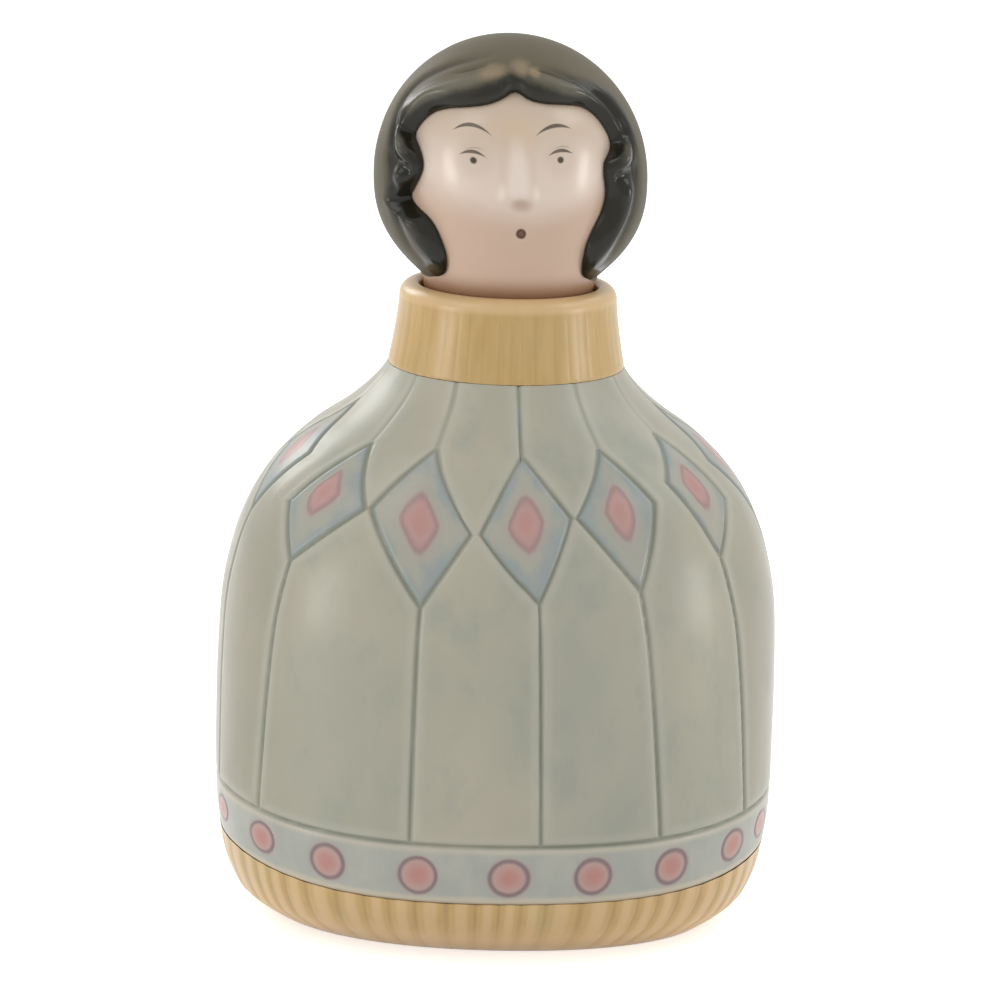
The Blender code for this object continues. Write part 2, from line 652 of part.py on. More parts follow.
def face_opening(cutters):
    """Flared prism with the outline of the face, cut out of the front of the hair."""
    curve = bpy.data.curves.new("face_outline", "CURVE")
    curve.dimensions = "2D"
    curve.fill_mode = "BOTH"
    curve.extrude = 0.5 * (HAIR_HALF_WIDTH + FACE_CUT_OVERRUN)
    spline = curve.splines.new("POLY")
    spline.points.add(len(FACE_OUTLINE_SHARES) - 1)
    for target, (across, up) in zip(spline.points, face_outline()):
        target.co = (across, up, 0.0, 1.0)
    spline.use_cyclic_u = True
    guide = bpy.data.objects.new("face_outline", curve)
    bpy.context.scene.collection.objects.link(guide)
    mesh = evaluated_mesh(guide)
    bpy.data.objects.remove(guide)
    shape = bmesh.new()
    shape.from_mesh(mesh)
    bmesh.ops.remove_doubles(shape, verts=shape.verts, dist=MERGE_DISTANCE)
    turn = Matrix.Rotation(math.radians(90.0), 4, "X")
    bmesh.ops.transform(shape, matrix=Matrix.Translation((0.0, -curve.extrude, 0.0)) @ turn, verts=shape.verts)
    for vertex in shape.verts:
        across, height = flared(vertex.co.x, -vertex.co.y, vertex.co.z)
        vertex.co.x, vertex.co.z = across - lean_at(height, FACE_LEAN_DEG), height
    bmesh.ops.triangulate(shape, faces=shape.faces)
    shape.to_mesh(mesh)
    shape.free()
    item = bpy.data.objects.new("face_opening", mesh)
    as_cutter(item, cutters)
    return item


def hair_cap(parts, cutters):
    """The bobbed hair, fitted over the head and open round the face."""
    outer = hair_line()
    item = turned("hair_cap", outer + [(0.0, HAIR_END_Z)], HAIR_COLUMNS, hair_place)
    boolean(item, skull_core(cutters), "DIFFERENCE")
    boolean(item, face_opening(cutters), "DIFFERENCE")
    finish(item, parts, glaze("dark_olive_glaze", DARK_OLIVE, GLAZE_ROUGHNESS))


def main():
    """Clear the scene and make every part."""
    for item in list(bpy.data.objects):
        bpy.data.objects.remove(item)
    parts = bpy.data.collections.new("figural_bottle")
    cutters = bpy.data.collections.new("cutters")
    for collection in (parts, cutters):
        bpy.context.scene.collection.children.link(collection)
    body_shell(parts)
    base_hem(parts)
    ribbed_collar(parts)
    cork_sleeve(parts)
    stopper_spigot(parts)
    head_shell(parts, cutters)
    hair_cap(parts, cutters)


main()
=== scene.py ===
"""Looks of the figural stoneware bottle: carved body, ribbed hem and collar, cork and painted head stopper.

Laid out as an add-on with one operator for each piece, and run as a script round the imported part.
Metres, +Z up, the face towards -Y. Turns round the bottle start at the front and grow towards +X.
"""
import math

import bmesh
import bpy
import numpy as np
from bpy.props import FloatProperty, FloatVectorProperty, IntProperty, PointerProperty
from mathutils import Matrix, Vector


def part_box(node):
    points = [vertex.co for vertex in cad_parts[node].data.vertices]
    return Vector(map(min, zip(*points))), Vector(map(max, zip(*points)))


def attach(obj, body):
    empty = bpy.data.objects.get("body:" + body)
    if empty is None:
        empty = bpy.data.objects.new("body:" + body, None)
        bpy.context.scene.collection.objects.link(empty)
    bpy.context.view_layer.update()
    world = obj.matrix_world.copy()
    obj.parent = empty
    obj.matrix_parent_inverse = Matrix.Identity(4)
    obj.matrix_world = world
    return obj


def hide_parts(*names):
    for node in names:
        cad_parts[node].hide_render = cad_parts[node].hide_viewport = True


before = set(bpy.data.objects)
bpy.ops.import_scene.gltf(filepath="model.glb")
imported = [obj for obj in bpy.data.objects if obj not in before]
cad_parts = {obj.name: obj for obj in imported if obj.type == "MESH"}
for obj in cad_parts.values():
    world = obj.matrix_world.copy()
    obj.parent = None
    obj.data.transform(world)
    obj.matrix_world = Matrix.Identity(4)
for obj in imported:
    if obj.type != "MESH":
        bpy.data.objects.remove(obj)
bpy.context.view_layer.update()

bl_info = {
    "name": "Figural stoneware bottle",
    "version": (1, 0, 0),
    "blender": (4, 5, 0),
    "location": "3D View > Sidebar > Bottle",
    "description": "Models and glazes the pieces of a figural stoneware bottle",
    "category": "Add Mesh",
}

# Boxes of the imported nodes, and the levels that follow from them
BODY_LOW, BODY_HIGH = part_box("body_shell")
HEM_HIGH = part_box("base_hem")[1]
COLLAR_LOW, COLLAR_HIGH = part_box("ribbed_collar")
CORK_LOW, CORK_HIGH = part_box("cork_sleeve")
SPIGOT_LOW, SPIGOT_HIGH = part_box("stopper_spigot")
HEAD_LOW, HEAD_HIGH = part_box("head_shell")
HAIR_LOW, HAIR_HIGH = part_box("hair_cap")
GAP = CORK_LOW.z - BODY_HIGH.z
FOOT_Z = BODY_LOW.z
SEAT_Z = COLLAR_LOW.z - GAP
RIM_Z = COLLAR_HIGH.z
HEM_TOP_Z = FOOT_Z - GAP
BODY_RISE = SEAT_Z - FOOT_Z + GAP

# Work values: a millimetre, a distance past any line, the largest share that is kept for a glaze, small
# steps along a surface and round the oval, and the limits for merging points and smoothing edges
MM = 0.001
FAR = 1.0
NOTED_LIMIT = 9.0
STEP = 0.00002
WIDE_STEP = 0.03
MERGE_DISTANCE = 0.000001
SMOOTH_ANGLE = math.radians(40.0)

# Body wall: outline from the seat of the collar down to the foot, as shares of its rise and of its flare
BODY_OUTLINE_SHARES = (
    (1.0, 0.0), (0.975, 0.051), (0.941, 0.149), (0.906, 0.281), (0.865, 0.459), (0.8125, 0.629),
    (0.761, 0.749), (0.702, 0.841), (0.633, 0.915), (0.531, 0.976), (0.394, 0.997), (0.248, 1.0),
    (0.119, 0.995), (0.0, 0.964),
)
BODY_POWER = 2.15
NECK_START_SHARE = 0.80
NECK_END_SHARE = 0.99
HEADROOM = 0.00012
COLLAR_FOOT = COLLAR_HIGH.y
WALL = 0.0045
NECK_RADIUS = 0.0230
NECK_BORE = 0.0176
BODY_COLUMNS = 240
BODY_ROWS = 78
INNER_ROWS = 20
NECK_RINGS = 3
FINE_REACHES = (0.0019, 0.0013)
BEAD_RADIUS = 0.00022
SEAM_GAP = 0.00003
PATTERN_LIFT = 0.0032
HEM_LIFT = 0.0047
OUTLINE_STEPS = 12
OVAL_POINTS = 2881

# Burrs and dot rings, in half-widths of a carved line, and the lengths of the waves left by pressing
BURR_PLACE = 2.6
BURR_WIDTH = 1.2
RING_WIDTH = 0.8
HAND_WAVES = (0.017, 0.031)

# Diamonds that were cut by hand and are seen from the front, from left to right: turn in degrees and height
# in millimetres of the middle and of the top, right, lower and left corners, then the turns of the far ends
# of the seams above and below
CUT_DIAMONDS = (
    ((-52.4, 107.7), (-49.5, 118.0), (-37.4, 105.1), (-54.9, 91.3), (-64.2, 103.3), -54.0, -60.3),
    ((-21.9, 103.0), (-25.4, 118.5), (-10.2, 101.3), (-19.4, 84.9), (-35.8, 105.3), -30.0, -19.7),
    ((0.6, 103.8), (0.3, 117.7), (10.4, 105.0), (2.9, 86.4), (-8.1, 101.4), 0.3, 4.3),
    ((22.7, 106.2), (24.9, 118.6), (33.6, 107.2), (24.4, 88.4), (11.8, 105.0), 29.0, 29.7),
    ((50.4, 109.5), (54.6, 120.0), (62.1, 105.0), (49.6, 93.6), (41.2, 110.8), 58.0, 58.0),
)
DIAMOND_FRONT_Z = 0.1035
DIAMOND_SIDE_RISE = 0.0090
DIAMOND_HALF_TURN = math.radians(11.4)
DIAMOND_HALF_RUN = 0.0182
DIAMOND_SWAY = 0.0012
DIAMOND_SWAY_TURN = 2.4
CUT_SEAM_SHARES = (0.3, 0.65, 1.0, 0.45, 0.3)
SEAM_SHARE = 0.5
LOWER_SEAM_SHARE = 0.9
LOZENGE_POWER = 1.30
BACK_CROWD = 0.965

# Belt above the hem, with its dots: turns in degrees of the dots seen from the front
BELT_Z = 0.0298
DOT_Z = 0.0224
CUT_DOT_TURNS = (-80.4, -58.7, -38.6, -18.0, -0.8, 14.8, 33.2, 53.4, 69.6)

# Hem, foot ring and floor
HEM_OUTLINE_SHARES = ((1.0, 1.0), (0.74, 0.91), (0.44, 0.68), (0.17, 0.31), (0.0, 0.0))
HEM_SET_IN = 0.0001
HEM_TAPER = 0.0133
HEM_PINCH_SHARE = 0.13
HEM_SKEW_SHARE = 0.05
FOOT_RING = 0.0070
FOOT_RECESS = 0.0012
FLOOR = 0.0050
COVE_RADIUS = 0.0080
UPSTAND = 0.0025
HEM_COLUMNS_EACH = 12
FACE_ROWS = 26

# Collar
COLLAR_FLARE = 0.0023
COLLAR_FLARE_POWER = 1.4
COLLAR_BORE = 0.0200
COLLAR_BORE_FLARE = 0.0006
COLLAR_LIP = 0.0031
COLLAR_INNER_LIP = 0.0014
COLLAR_TUCK = 0.00025
COLLAR_COLUMNS_EACH = 14

# Cork and spigot
CORK_ROUNDING = 0.0007
CORK_PIT = 0.00025
SPIGOT_ROUNDING = 0.0006
SPIGOT_BORE = 0.0116
REGISTER_WALL = 0.0017
ROUND_COLUMNS = 128
BARK_DARK = (0.20, 0.095, 0.040)
BARK_PALE = (0.38, 0.21, 0.10)
BARK_SPECK = (0.075, 0.032, 0.014)
BARK_PIT = (0.060, 0.027, 0.012)
CLAY_DARK = (0.50, 0.44, 0.35)
CLAY_PALE = (0.60, 0.55, 0.46)
CLAY_SPECK = (0.22, 0.13, 0.08)

# Head: an egg that narrows to a neck inside the collar and leans to one side
HEAD_HALF_WIDTH = 0.0258
HEAD_CHEEK_DROP = 0.0300
HEAD_CROWN_POWER = 2.3
HEAD_CHEEK_POWER = 1.25
HEAD_RIM_CLEARANCE = 0.0009
HEAD_WALL = 0.0035
HEAD_FLOOR = 0.0030
HEAD_COLUMNS = 320
HEAD_CROWD = 0.42
HEAD_LEAN = math.tan(math.radians(1.1))
FACE_LEAN = math.tan(math.radians(3.4))
LEAN_START_Z = HEAD_LOW.z + 0.0120
HEAD_WIDEST_Z = HEAD_LOW.z + HEAD_CHEEK_DROP
HEAD_OUTER_ROWS = 170
HEAD_INNER_ROWS = 24

# Face: left and right, the mouth's place, and the forms that come in pairs, by height, places across and up,
# stretch across and up, and width, in millimetres
SIDES = (-1.0, 1.0)
MOUTH = (0.3, 166.3)
PAIRED_FORMS = (
    (-0.75, 9.6, 184.2, 1.25, 1.0, 4.4),
    (0.30, 9.2, 191.0, 2.0, 1.0, 2.6),
    (0.35, 13.5, 175.5, 1.0, 1.2, 5.5),
)

# Hair: a shell over the head, its rows running from the back of the head to its border
HAIR_THICKNESS = HAIR_HIGH.z - HEAD_HIGH.z
HAIR_END_THICKNESS = 0.0016
HAIR_SIDE_DROP = 0.0211
HAIR_CROWN_POWER = 2.02
HAIR_SIDE_POWER = 2.5
HAIR_FRONT_SHARE = 0.94
HAIR_WIDEST_Z = HAIR_LOW.z + HAIR_SIDE_DROP
HAIR_COLUMNS = 460
HAIR_ROWS = 120
HAIR_INNER_ROWS = 16
HAIR_ROW_POWER = 1.3
HAIR_POLE = (0.0, 1.0, 0.25)
HAIR_MIDDLE = (0.0, 0.0, 0.1775)

# Hairline from the left cheek over the brow to the right cheek: places across and up in millimetres
HAIRLINE = (
    (-15.8, 156.6), (-16.0, 159.0), (-16.7, 161.8), (-18.0, 165.3), (-19.7, 168.2), (-22.0, 170.1),
    (-23.4, 172.1), (-22.8, 174.1), (-21.7, 176.7), (-20.8, 179.2), (-20.7, 181.5), (-21.3, 184.1),
    (-22.0, 186.2), (-21.5, 187.8), (-19.9, 190.1), (-17.7, 192.1), (-14.6, 193.4), (-10.2, 194.2),
    (-5.8, 195.1), (-2.3, 196.5), (0.5, 197.9), (3.2, 196.4), (6.8, 195.5), (11.5, 195.1), (15.9, 194.3),
    (19.0, 192.3), (21.4, 189.1), (22.7, 186.0), (21.8, 183.6), (20.6, 182.0), (20.4, 179.2), (20.8, 175.6),
    (20.5, 172.8), (19.3, 169.7), (17.5, 166.5), (16.1, 163.4), (15.3, 160.0), (15.1, 156.6),
)

# Modelled strokes on the hair: height and width in millimetres, then places across and up in millimetres
HAIR_STROKES = (
    (1.1, 2.1, ((-1.2, 201.0), (-7.0, 200.3), (-13.7, 198.4), (-19.9, 195.6), (-23.7, 191.2), (-25.5, 186.4),
                (-24.9, 183.3), (-22.3, 181.8))),
    (1.1, 2.1, ((1.5, 201.0), (7.2, 200.3), (13.5, 198.2), (19.1, 195.5), (23.4, 191.1), (26.0, 185.9),
                (25.3, 182.7), (22.0, 181.4))),
    (1.1, 2.0, ((-27.0, 177.4), (-26.2, 173.3), (-25.0, 169.1), (-22.4, 166.4), (-19.7, 163.8),
                (-17.9, 160.6), (-17.6, 158.2))),
    (1.1, 2.0, ((26.2, 174.6), (23.6, 172.3), (21.0, 169.9), (18.8, 166.2), (17.0, 160.9), (16.7, 158.0))),
    (-0.9, 1.6, ((-5.0, 205.2), (-12.9, 203.0), (-20.3, 198.7), (-25.5, 192.3), (-27.9, 183.8),
                 (-28.4, 176.2), (-27.2, 167.5), (-24.6, 161.2), (-21.6, 157.8))),
    (-0.9, 1.6, ((5.4, 204.0), (11.8, 202.0), (18.1, 198.6), (23.4, 193.9), (27.6, 186.0), (28.6, 178.1),
                 (27.6, 170.8), (24.3, 164.2), (20.9, 158.8))),
    (-1.9, 2.0, ((-28.2, 181.6), (-24.9, 178.6), (-21.4, 177.4))),
    (-1.9, 2.0, ((28.2, 179.6), (23.6, 178.2), (20.2, 176.6))),
    (-1.0, 0.9, ((0.3, 201.2), (0.4, 199.6), (0.5, 198.0), (0.5, 196.4))),
    (-0.55, 0.7, ((-2.6, 199.0), (-9.0, 197.5), (-14.8, 196.0), (-19.0, 193.0), (-21.8, 189.0),
                  (-22.9, 185.6))),
    (-0.55, 0.7, ((3.2, 198.8), (9.5, 197.6), (15.5, 196.0), (19.8, 192.9), (22.6, 188.8), (23.8, 185.2))),
    (-0.5, 0.6, ((-13.0, 201.2), (-8.0, 202.8), (-3.4, 204.2))),
    (-0.5, 0.6, ((13.4, 200.4), (8.4, 202.2), (4.0, 203.4))),
    (-0.5, 0.7, ((-24.6, 174.8), (-23.6, 171.0), (-20.8, 168.0), (-18.0, 165.0))),
    (-0.5, 0.7, ((22.6, 175.2), (21.4, 172.2), (19.2, 169.2), (17.4, 165.6))),
)

# Grooves combed round the back of the hair: turn in degrees, start from the crown and height in millimetres
COMBED_GROOVES = (
    (103.0, 21.0, -0.30), (117.0, 11.0, -0.40), (129.0, 27.0, -0.30), (143.0, 14.0, -0.40),
    (153.0, 33.0, -0.25), (167.0, 20.0, -0.35), (184.0, 12.0, -0.40), (195.0, 29.0, -0.25),
    (208.0, 16.0, -0.35), (223.0, 24.0, -0.40), (233.0, 34.0, -0.25), (247.0, 17.0, -0.40),
    (258.0, 25.0, -0.30),
)
COMBED_WIDTH = 0.8
COMBED_SWAY = 0.09

# Strokes and grooves alike: points along each, reach in widths, and how they fade out at both ends
STROKE_STEPS = 150
STROKE_MARGIN = 3.0
STROKE_ENDS = (0.02, 0.98)
STROKE_FADE_POWER = 0.45

# Thin brown glaze beside the parting, partly a painted highlight: places across and up, squeeze and size, in
# millimetres
PARTING_LOBES = ((1.7, 203.2, 0.75, 2.4), (-4.6, 202.8, 0.38, 2.0), (4.9, 202.5, 0.85, 1.5))

# Stage: floor, camera, and lamps with their place, their width and height, and their share of the set power
STAGE_WIDTH = 8.0
STAGE_DROP = 0.00005
STAGE_ROUGHNESS = 0.9
STAGE_GLOW = 0.64
WHITE = (1.0, 1.0, 1.0)
SENSOR_WIDTH = 36.0
CLIP = (0.1, 20.0)
LAMP_AIM = (0.0, 0.0, 0.12)
SIDE_LAMPS = (
    ("left_box", (-1.055, -0.41, 0.19), (0.30, 0.34), 1.0),
    ("right_box", (1.06, -0.34, 0.19), (0.28, 0.34), 1.0),
)
UPPER_LAMPS = (
    ("left_rear_box", (-0.62, 0.86, 0.60), (0.40, 0.45), 1.4),
    ("right_rear_box", (0.71, 0.50, 0.82), (0.30, 0.30), 0.25),
    ("left_top_box", (-0.76, -0.42, 1.02), (0.60, 0.60), 1.0),
    ("right_top_box", (0.78, -0.10, 0.93), (0.45, 0.45), 0.8),
)


def clear_selection():
    """Leave nothing selected, so that an operator acts on the new piece alone."""
    if bpy.context.mode != "OBJECT":
        bpy.ops.object.mode_set(mode="OBJECT")
    bpy.ops.object.select_all(action="DESELECT")


def eased(share):
    """Shares from 0 to 1 that start and end gently."""
    share = np.clip(share, 0.0, 1.0)
    return share * share * (3.0 - 2.0 * share)


def hump(away, width):
    """Bell curve over a distance."""
    return np.exp(-(away / width) ** 2)


def smooth_line(points, steps):
    """Points on a smooth curve through the given ones, with the given number of steps between two."""
    points = np.array(points, float)
    padded = np.vstack([points[:1], points, points[-1:]])
    line = []
    for before, start, end, after in zip(padded, padded[1:], padded[2:], padded[3:]):
        for step in range(steps):
            t = step / steps
            bend = 2.0 * before - 5.0 * start + 4.0 * end - after
            twist = 3.0 * start - before - 3.0 * end + after
            line.append(start + 0.5 * t * (end - before + t * (bend + t * twist)))
    return np.array(line + [points[-1]])


def along(line):
    """Distance of each point of a line from its start."""
    return np.concatenate([[0.0], np.cumsum(np.linalg.norm(np.diff(line, axis=0), axis=1))])


def spaced(line, count):
    """The same line with evenly spaced points."""
    run = along(line)
    stops = np.linspace(0.0, run[-1], count)
    return np.stack([np.interp(stops, run, line[:, axis]) for axis in range(line.shape[1])], axis=1)


def arc(centre, radius, start_deg, end_deg, steps):
    """Points on an arc about a centre."""
    turns = np.radians(np.linspace(start_deg, end_deg, steps + 1))
    return np.stack([centre[0] + radius * np.cos(turns), centre[1] + radius * np.sin(turns)], axis=1)


def straight(start, end, steps):
    """Points on a straight line, without its end."""
    return np.linspace(start, end, steps, endpoint=False)


def select_edges(item, wanted):
    """In edit mode, select the edges that pass a test, and nothing else."""
    shape = bmesh.from_edit_mesh(item.data)
    for part in (*shape.verts, *shape.edges, *shape.faces):
        part.select = False
    for edge in shape.edges:
        if wanted(edge):
            edge.select_set(True)
    bmesh.update_edit_mesh(item.data)


def new_sheet(name, columns, rows):
    """Flat grid of quads, to be wrapped round a piece."""
    clear_selection()
    bpy.ops.mesh.primitive_grid_add(x_subdivisions=columns, y_subdivisions=rows, size=1.0)
    item = bpy.context.object
    item.name = name
    item.data.name = name
    return item


def sheet_places(item, rows):
    """Turn and row number of each point of a sheet."""
    flat = points_of(item)
    return 2.0 * math.pi * flat[:, 0], np.rint((flat[:, 1] + 0.5) * rows).astype(int)


def points_of(item):
    """Array of the places of a mesh's points."""
    flat = np.zeros(3 * len(item.data.vertices), np.float32)
    item.data.vertices.foreach_get("co", flat)
    return flat.reshape(-1, 3).astype(float)


def move_points(item, points):
    """Put each point of a mesh in its place."""
    item.data.vertices.foreach_set("co", points.astype(np.float32).ravel())
    item.data.update()


def note(item, name, values):
    """Keep a number for each point, for the glaze to read."""
    kept = item.data.attributes.new(name, "FLOAT", "POINT")
    kept.data.foreach_set("value", values.astype(np.float32))


def close_shell(item):
    """Merge the seam and the poles, and turn the faces outwards."""
    bpy.context.view_layer.objects.active = item
    bpy.ops.object.mode_set(mode="EDIT")
    bpy.ops.mesh.select_all(action="SELECT")
    bpy.ops.mesh.remove_doubles(threshold=MERGE_DISTANCE)
    bpy.ops.mesh.normals_make_consistent(inside=False)
    bpy.ops.object.mode_set(mode="OBJECT")
    bpy.ops.object.shade_smooth_by_angle(angle=SMOOTH_ANGLE)


def outward(place, turn, radius, height, slope):
    """Unit normals of a turned form whose outline runs down its outer side in the given directions."""
    here = np.stack(place(turn, radius, height), axis=1)
    beside = np.stack(place(turn + STEP, radius, height), axis=1) - here
    below = np.stack(place(turn, radius + STEP * slope[:, 0], height + STEP * slope[:, 1]), axis=1) - here
    normal = np.cross(below, beside)
    return here, normal / np.maximum(np.linalg.norm(normal, axis=1, keepdims=True), MERGE_DISTANCE * STEP)


def as_it_is(turn):
    """The same turn."""
    return turn


def turned(name, line, columns, place, relief, spread=as_it_is):
    """Closed piece turned from a line of (radius, height) points, with a relief along its normals."""
    rows = len(line) - 1
    item = new_sheet(name, columns, rows)
    turn, row = sheet_places(item, rows)
    turn = spread(turn)
    slope = np.gradient(line, axis=0)
    slope = slope / np.maximum(np.linalg.norm(slope, axis=1, keepdims=True), MERGE_DISTANCE)
    radius, height = line[row, 0], line[row, 1]
    here, normal = outward(place, turn, radius, height, slope[row])
    lift, notes = relief(turn, row, radius, height, here)
    move_points(item, here + normal * lift[:, None])
    for key, values in notes.items():
        note(item, key, values)
    close_shell(item)
    return item


def settle(item, glaze, body, slot, *nodes):
    """Give a finished piece its glaze and its body, and hide the nodes that it stands for."""
    item.data.materials.clear()
    item.data.materials.append(glaze)
    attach(item, body)
    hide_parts(*nodes)


def body_outline():
    """The wall's outline from the seat of the collar down to the foot."""
    narrow = COLLAR_FOOT
    wide = BODY_HIGH.x - HEADROOM
    rise = SEAT_Z - FOOT_Z
    points = [(narrow + out * (wide - narrow), FOOT_Z + up * rise) for up, out in BODY_OUTLINE_SHARES]
    return smooth_line(points, OUTLINE_STEPS)


def pressed(turn, radius, height):
    """Places on the oval body: flat and squarish below, round at the neck."""
    neck = eased(((height - FOOT_Z) / BODY_RISE - NECK_START_SHARE) / (NECK_END_SHARE - NECK_START_SHARE))
    flat = BODY_HIGH.y / BODY_HIGH.x
    depth = flat + (1.0 - flat) * neck
    power = 2.0 / (BODY_POWER + (2.0 - BODY_POWER) * neck)
    across = np.sign(np.sin(turn)) * np.abs(np.sin(turn)) ** power
    deep = -np.sign(np.cos(turn)) * np.abs(np.cos(turn)) ** power
    return radius * across, radius * depth * deep, height


def round_oval():
    """Turns on the body's oval, and the share of the way round it that each has run, as a turn."""
    turns = np.linspace(-math.pi, math.pi, OVAL_POINTS)
    spots = pressed(turns, np.full(len(turns), BODY_HIGH.x), np.full(len(turns), FOOT_Z))
    run = along(np.stack(spots, axis=1))
    return turns, 2.0 * math.pi * (run / run[-1] - 0.5)


def evened(turn):
    """Share of the way round the oval, as a turn, that an oval turn has run."""
    turns, shares = round_oval()
    return np.interp(wrapped(turn), turns, shares)


def unevened(share):
    """Oval turn at which a share of the way round, as a turn, has run."""
    turns, shares = round_oval()
    return np.interp(wrapped(share), shares, turns)


def side_lift(turn, rise):
    """How much higher than in front something runs round the bottle's sides."""
    return rise * np.sin(turn) ** 4


def wrapped(turn):
    """Turns brought between half a turn to the left and half a turn to the right."""
    return (turn + math.pi) % (2.0 * math.pi) - math.pi


class BodyPattern:
    """The pattern carved in the body, measured by turn and by distance up the wall."""

    def __init__(self, diamonds, dots):
        line = body_outline()[::-1]
        self.radii, self.heights = line[:, 0], line[:, 1]
        self.runs = along(line)
        self.length = self.runs[-1]
        self.diamonds = self.cut_diamonds(diamonds)
        self.dot_turns = self.cut_dots(dots)

    def run_at(self, height):
        """Distance up the wall of a height."""
        return np.interp(height, self.heights, self.runs)

    def cut_diamonds(self, count):
        """Middle, corners and far seam ends of every diamond."""
        cut = []
        for (*places, above, below), bold in zip(CUT_DIAMONDS, CUT_SEAM_SHARES):
            spots = [(math.radians(turn), self.run_at(height * MM)) for turn, height in places]
            cut.append((spots[0], spots[1:], math.radians(above), math.radians(below), bold))
        first, last = evened(cut[-1][0][0]), evened(cut[0][0][0]) + 2.0 * math.pi
        rest = count - len(cut)
        for step in range(1, rest + 1):
            share = first + (last - first) * (0.5 + BACK_CROWD * (step / (rest + 1) - 0.5))
            turn, left, right = (unevened(share + way * DIAMOND_HALF_TURN) for way in (0.0, -1.0, 1.0))
            sway = DIAMOND_SWAY * math.sin(DIAMOND_SWAY_TURN * step)
            run = self.run_at(DIAMOND_FRONT_Z + DIAMOND_SIDE_RISE * math.sin(turn) ** 2) + sway
            corners = [
                (turn, run + DIAMOND_HALF_RUN), (right, run + sway),
                (turn, run - DIAMOND_HALF_RUN), (left, run - sway),
            ]
            cut.append(((turn, run), corners, turn, turn, SEAM_SHARE))
        return cut

    def cut_dots(self, count):
        """Turns of all the dots on the belt."""
        turns = [math.radians(turn) for turn in CUT_DOT_TURNS]
        rest = count - len(turns)
        first, last = evened(turns[-1]), evened(turns[0]) + 2.0 * math.pi
        return turns + [unevened(first + (last - first) * step / (rest + 1)) for step in range(1, rest + 1)]

    def measure(self, turn, run):
        """Shares of the way out of the nearest diamond and lozenge, and distances from lines and dots."""
        radius, height = np.interp(run, self.runs, self.radii), np.interp(run, self.runs, self.heights)
        before, after = (
            np.stack(pressed(turn + way * WIDE_STEP, radius, height), axis=1) for way in (-1.0, 1.0)
        )
        rate = np.linalg.norm(after - before, axis=1) / (2.0 * WIDE_STEP)
        belt = run - self.run_at(BELT_Z) - side_lift(turn, PATTERN_LIFT)
        share = np.full(len(turn), FAR / MM)
        lozenge = share.copy()
        lines = np.full(len(turn), FAR)
        boldness = np.ones(len(turn))
        for middle, corners, above, below, bold in self.diamonds:
            inside, rounder, edge = self.in_diamond(turn, run, rate, middle, corners)
            share, lozenge = np.minimum(share, inside), np.minimum(lozenge, rounder)
            upper = self.from_seam(turn, run, rate, corners[0], (above, self.length))
            lower = self.from_seam(turn, run, rate, corners[2], (below, self.run_at(BELT_Z)))
            for away, strength in ((np.abs(edge), 1.0), (lower, LOWER_SEAM_SHARE), (upper, bold)):
                boldness = np.where(away < lines, strength, boldness)
                lines = np.minimum(lines, away)
        lines = np.where(belt > 0.0, lines, FAR)
        lines = np.minimum(lines, np.abs(belt))
        dots = np.full(len(turn), FAR)
        for middle in self.dot_turns:
            dot_run = self.run_at(DOT_Z) + side_lift(middle, PATTERN_LIFT)
            dots = np.minimum(dots, np.hypot(wrapped(turn - middle) * rate, run - dot_run))
        return {
            "diamond": share, "lozenge": lozenge, "lines": lines, "bold": boldness,
            "belt": belt, "dots": dots,
        }

    def in_diamond(self, turn, run, rate, middle, corners):
        """Share of the way from a diamond's middle to its edge, the same rounder, and the edge's distance."""
        across, up = wrapped(turn - middle[0]), run - middle[1]
        share, edge = np.full(len(turn), FAR / MM), np.full(len(turn), FAR)
        rounder = share.copy()
        legs = [(wrapped(corner[0] - middle[0]), corner[1] - middle[1]) for corner in corners]
        for (turn_1, run_1), (turn_2, run_2) in zip(legs, legs[1:] + legs[:1]):
            area = turn_1 * run_2 - turn_2 * run_1
            first = (across * run_2 - turn_2 * up) / area
            second = (turn_1 * up - across * run_1) / area
            between = (first >= 0.0) & (second >= 0.0)
            reach = abs(area) * rate / np.hypot((turn_2 - turn_1) * rate, run_2 - run_1)
            share = np.where(between, first + second, share)
            mixed = np.maximum(first, 0.0) ** LOZENGE_POWER + np.maximum(second, 0.0) ** LOZENGE_POWER
            rounder = np.where(between, mixed ** (1.0 / LOZENGE_POWER), rounder)
            edge = np.where(between, (first + second - 1.0) * reach, edge)
        return share, rounder, edge

    def from_seam(self, turn, run, rate, start, end):
        """Distance sideways from a seam, between the heights of its ends."""
        share = (run - start[1]) / (end[1] - start[1])
        away = np.abs(wrapped(turn - start[0] - (end[0] - start[0]) * share)) * rate
        return np.where((share >= 0.0) & (share <= 1.0), away, FAR)


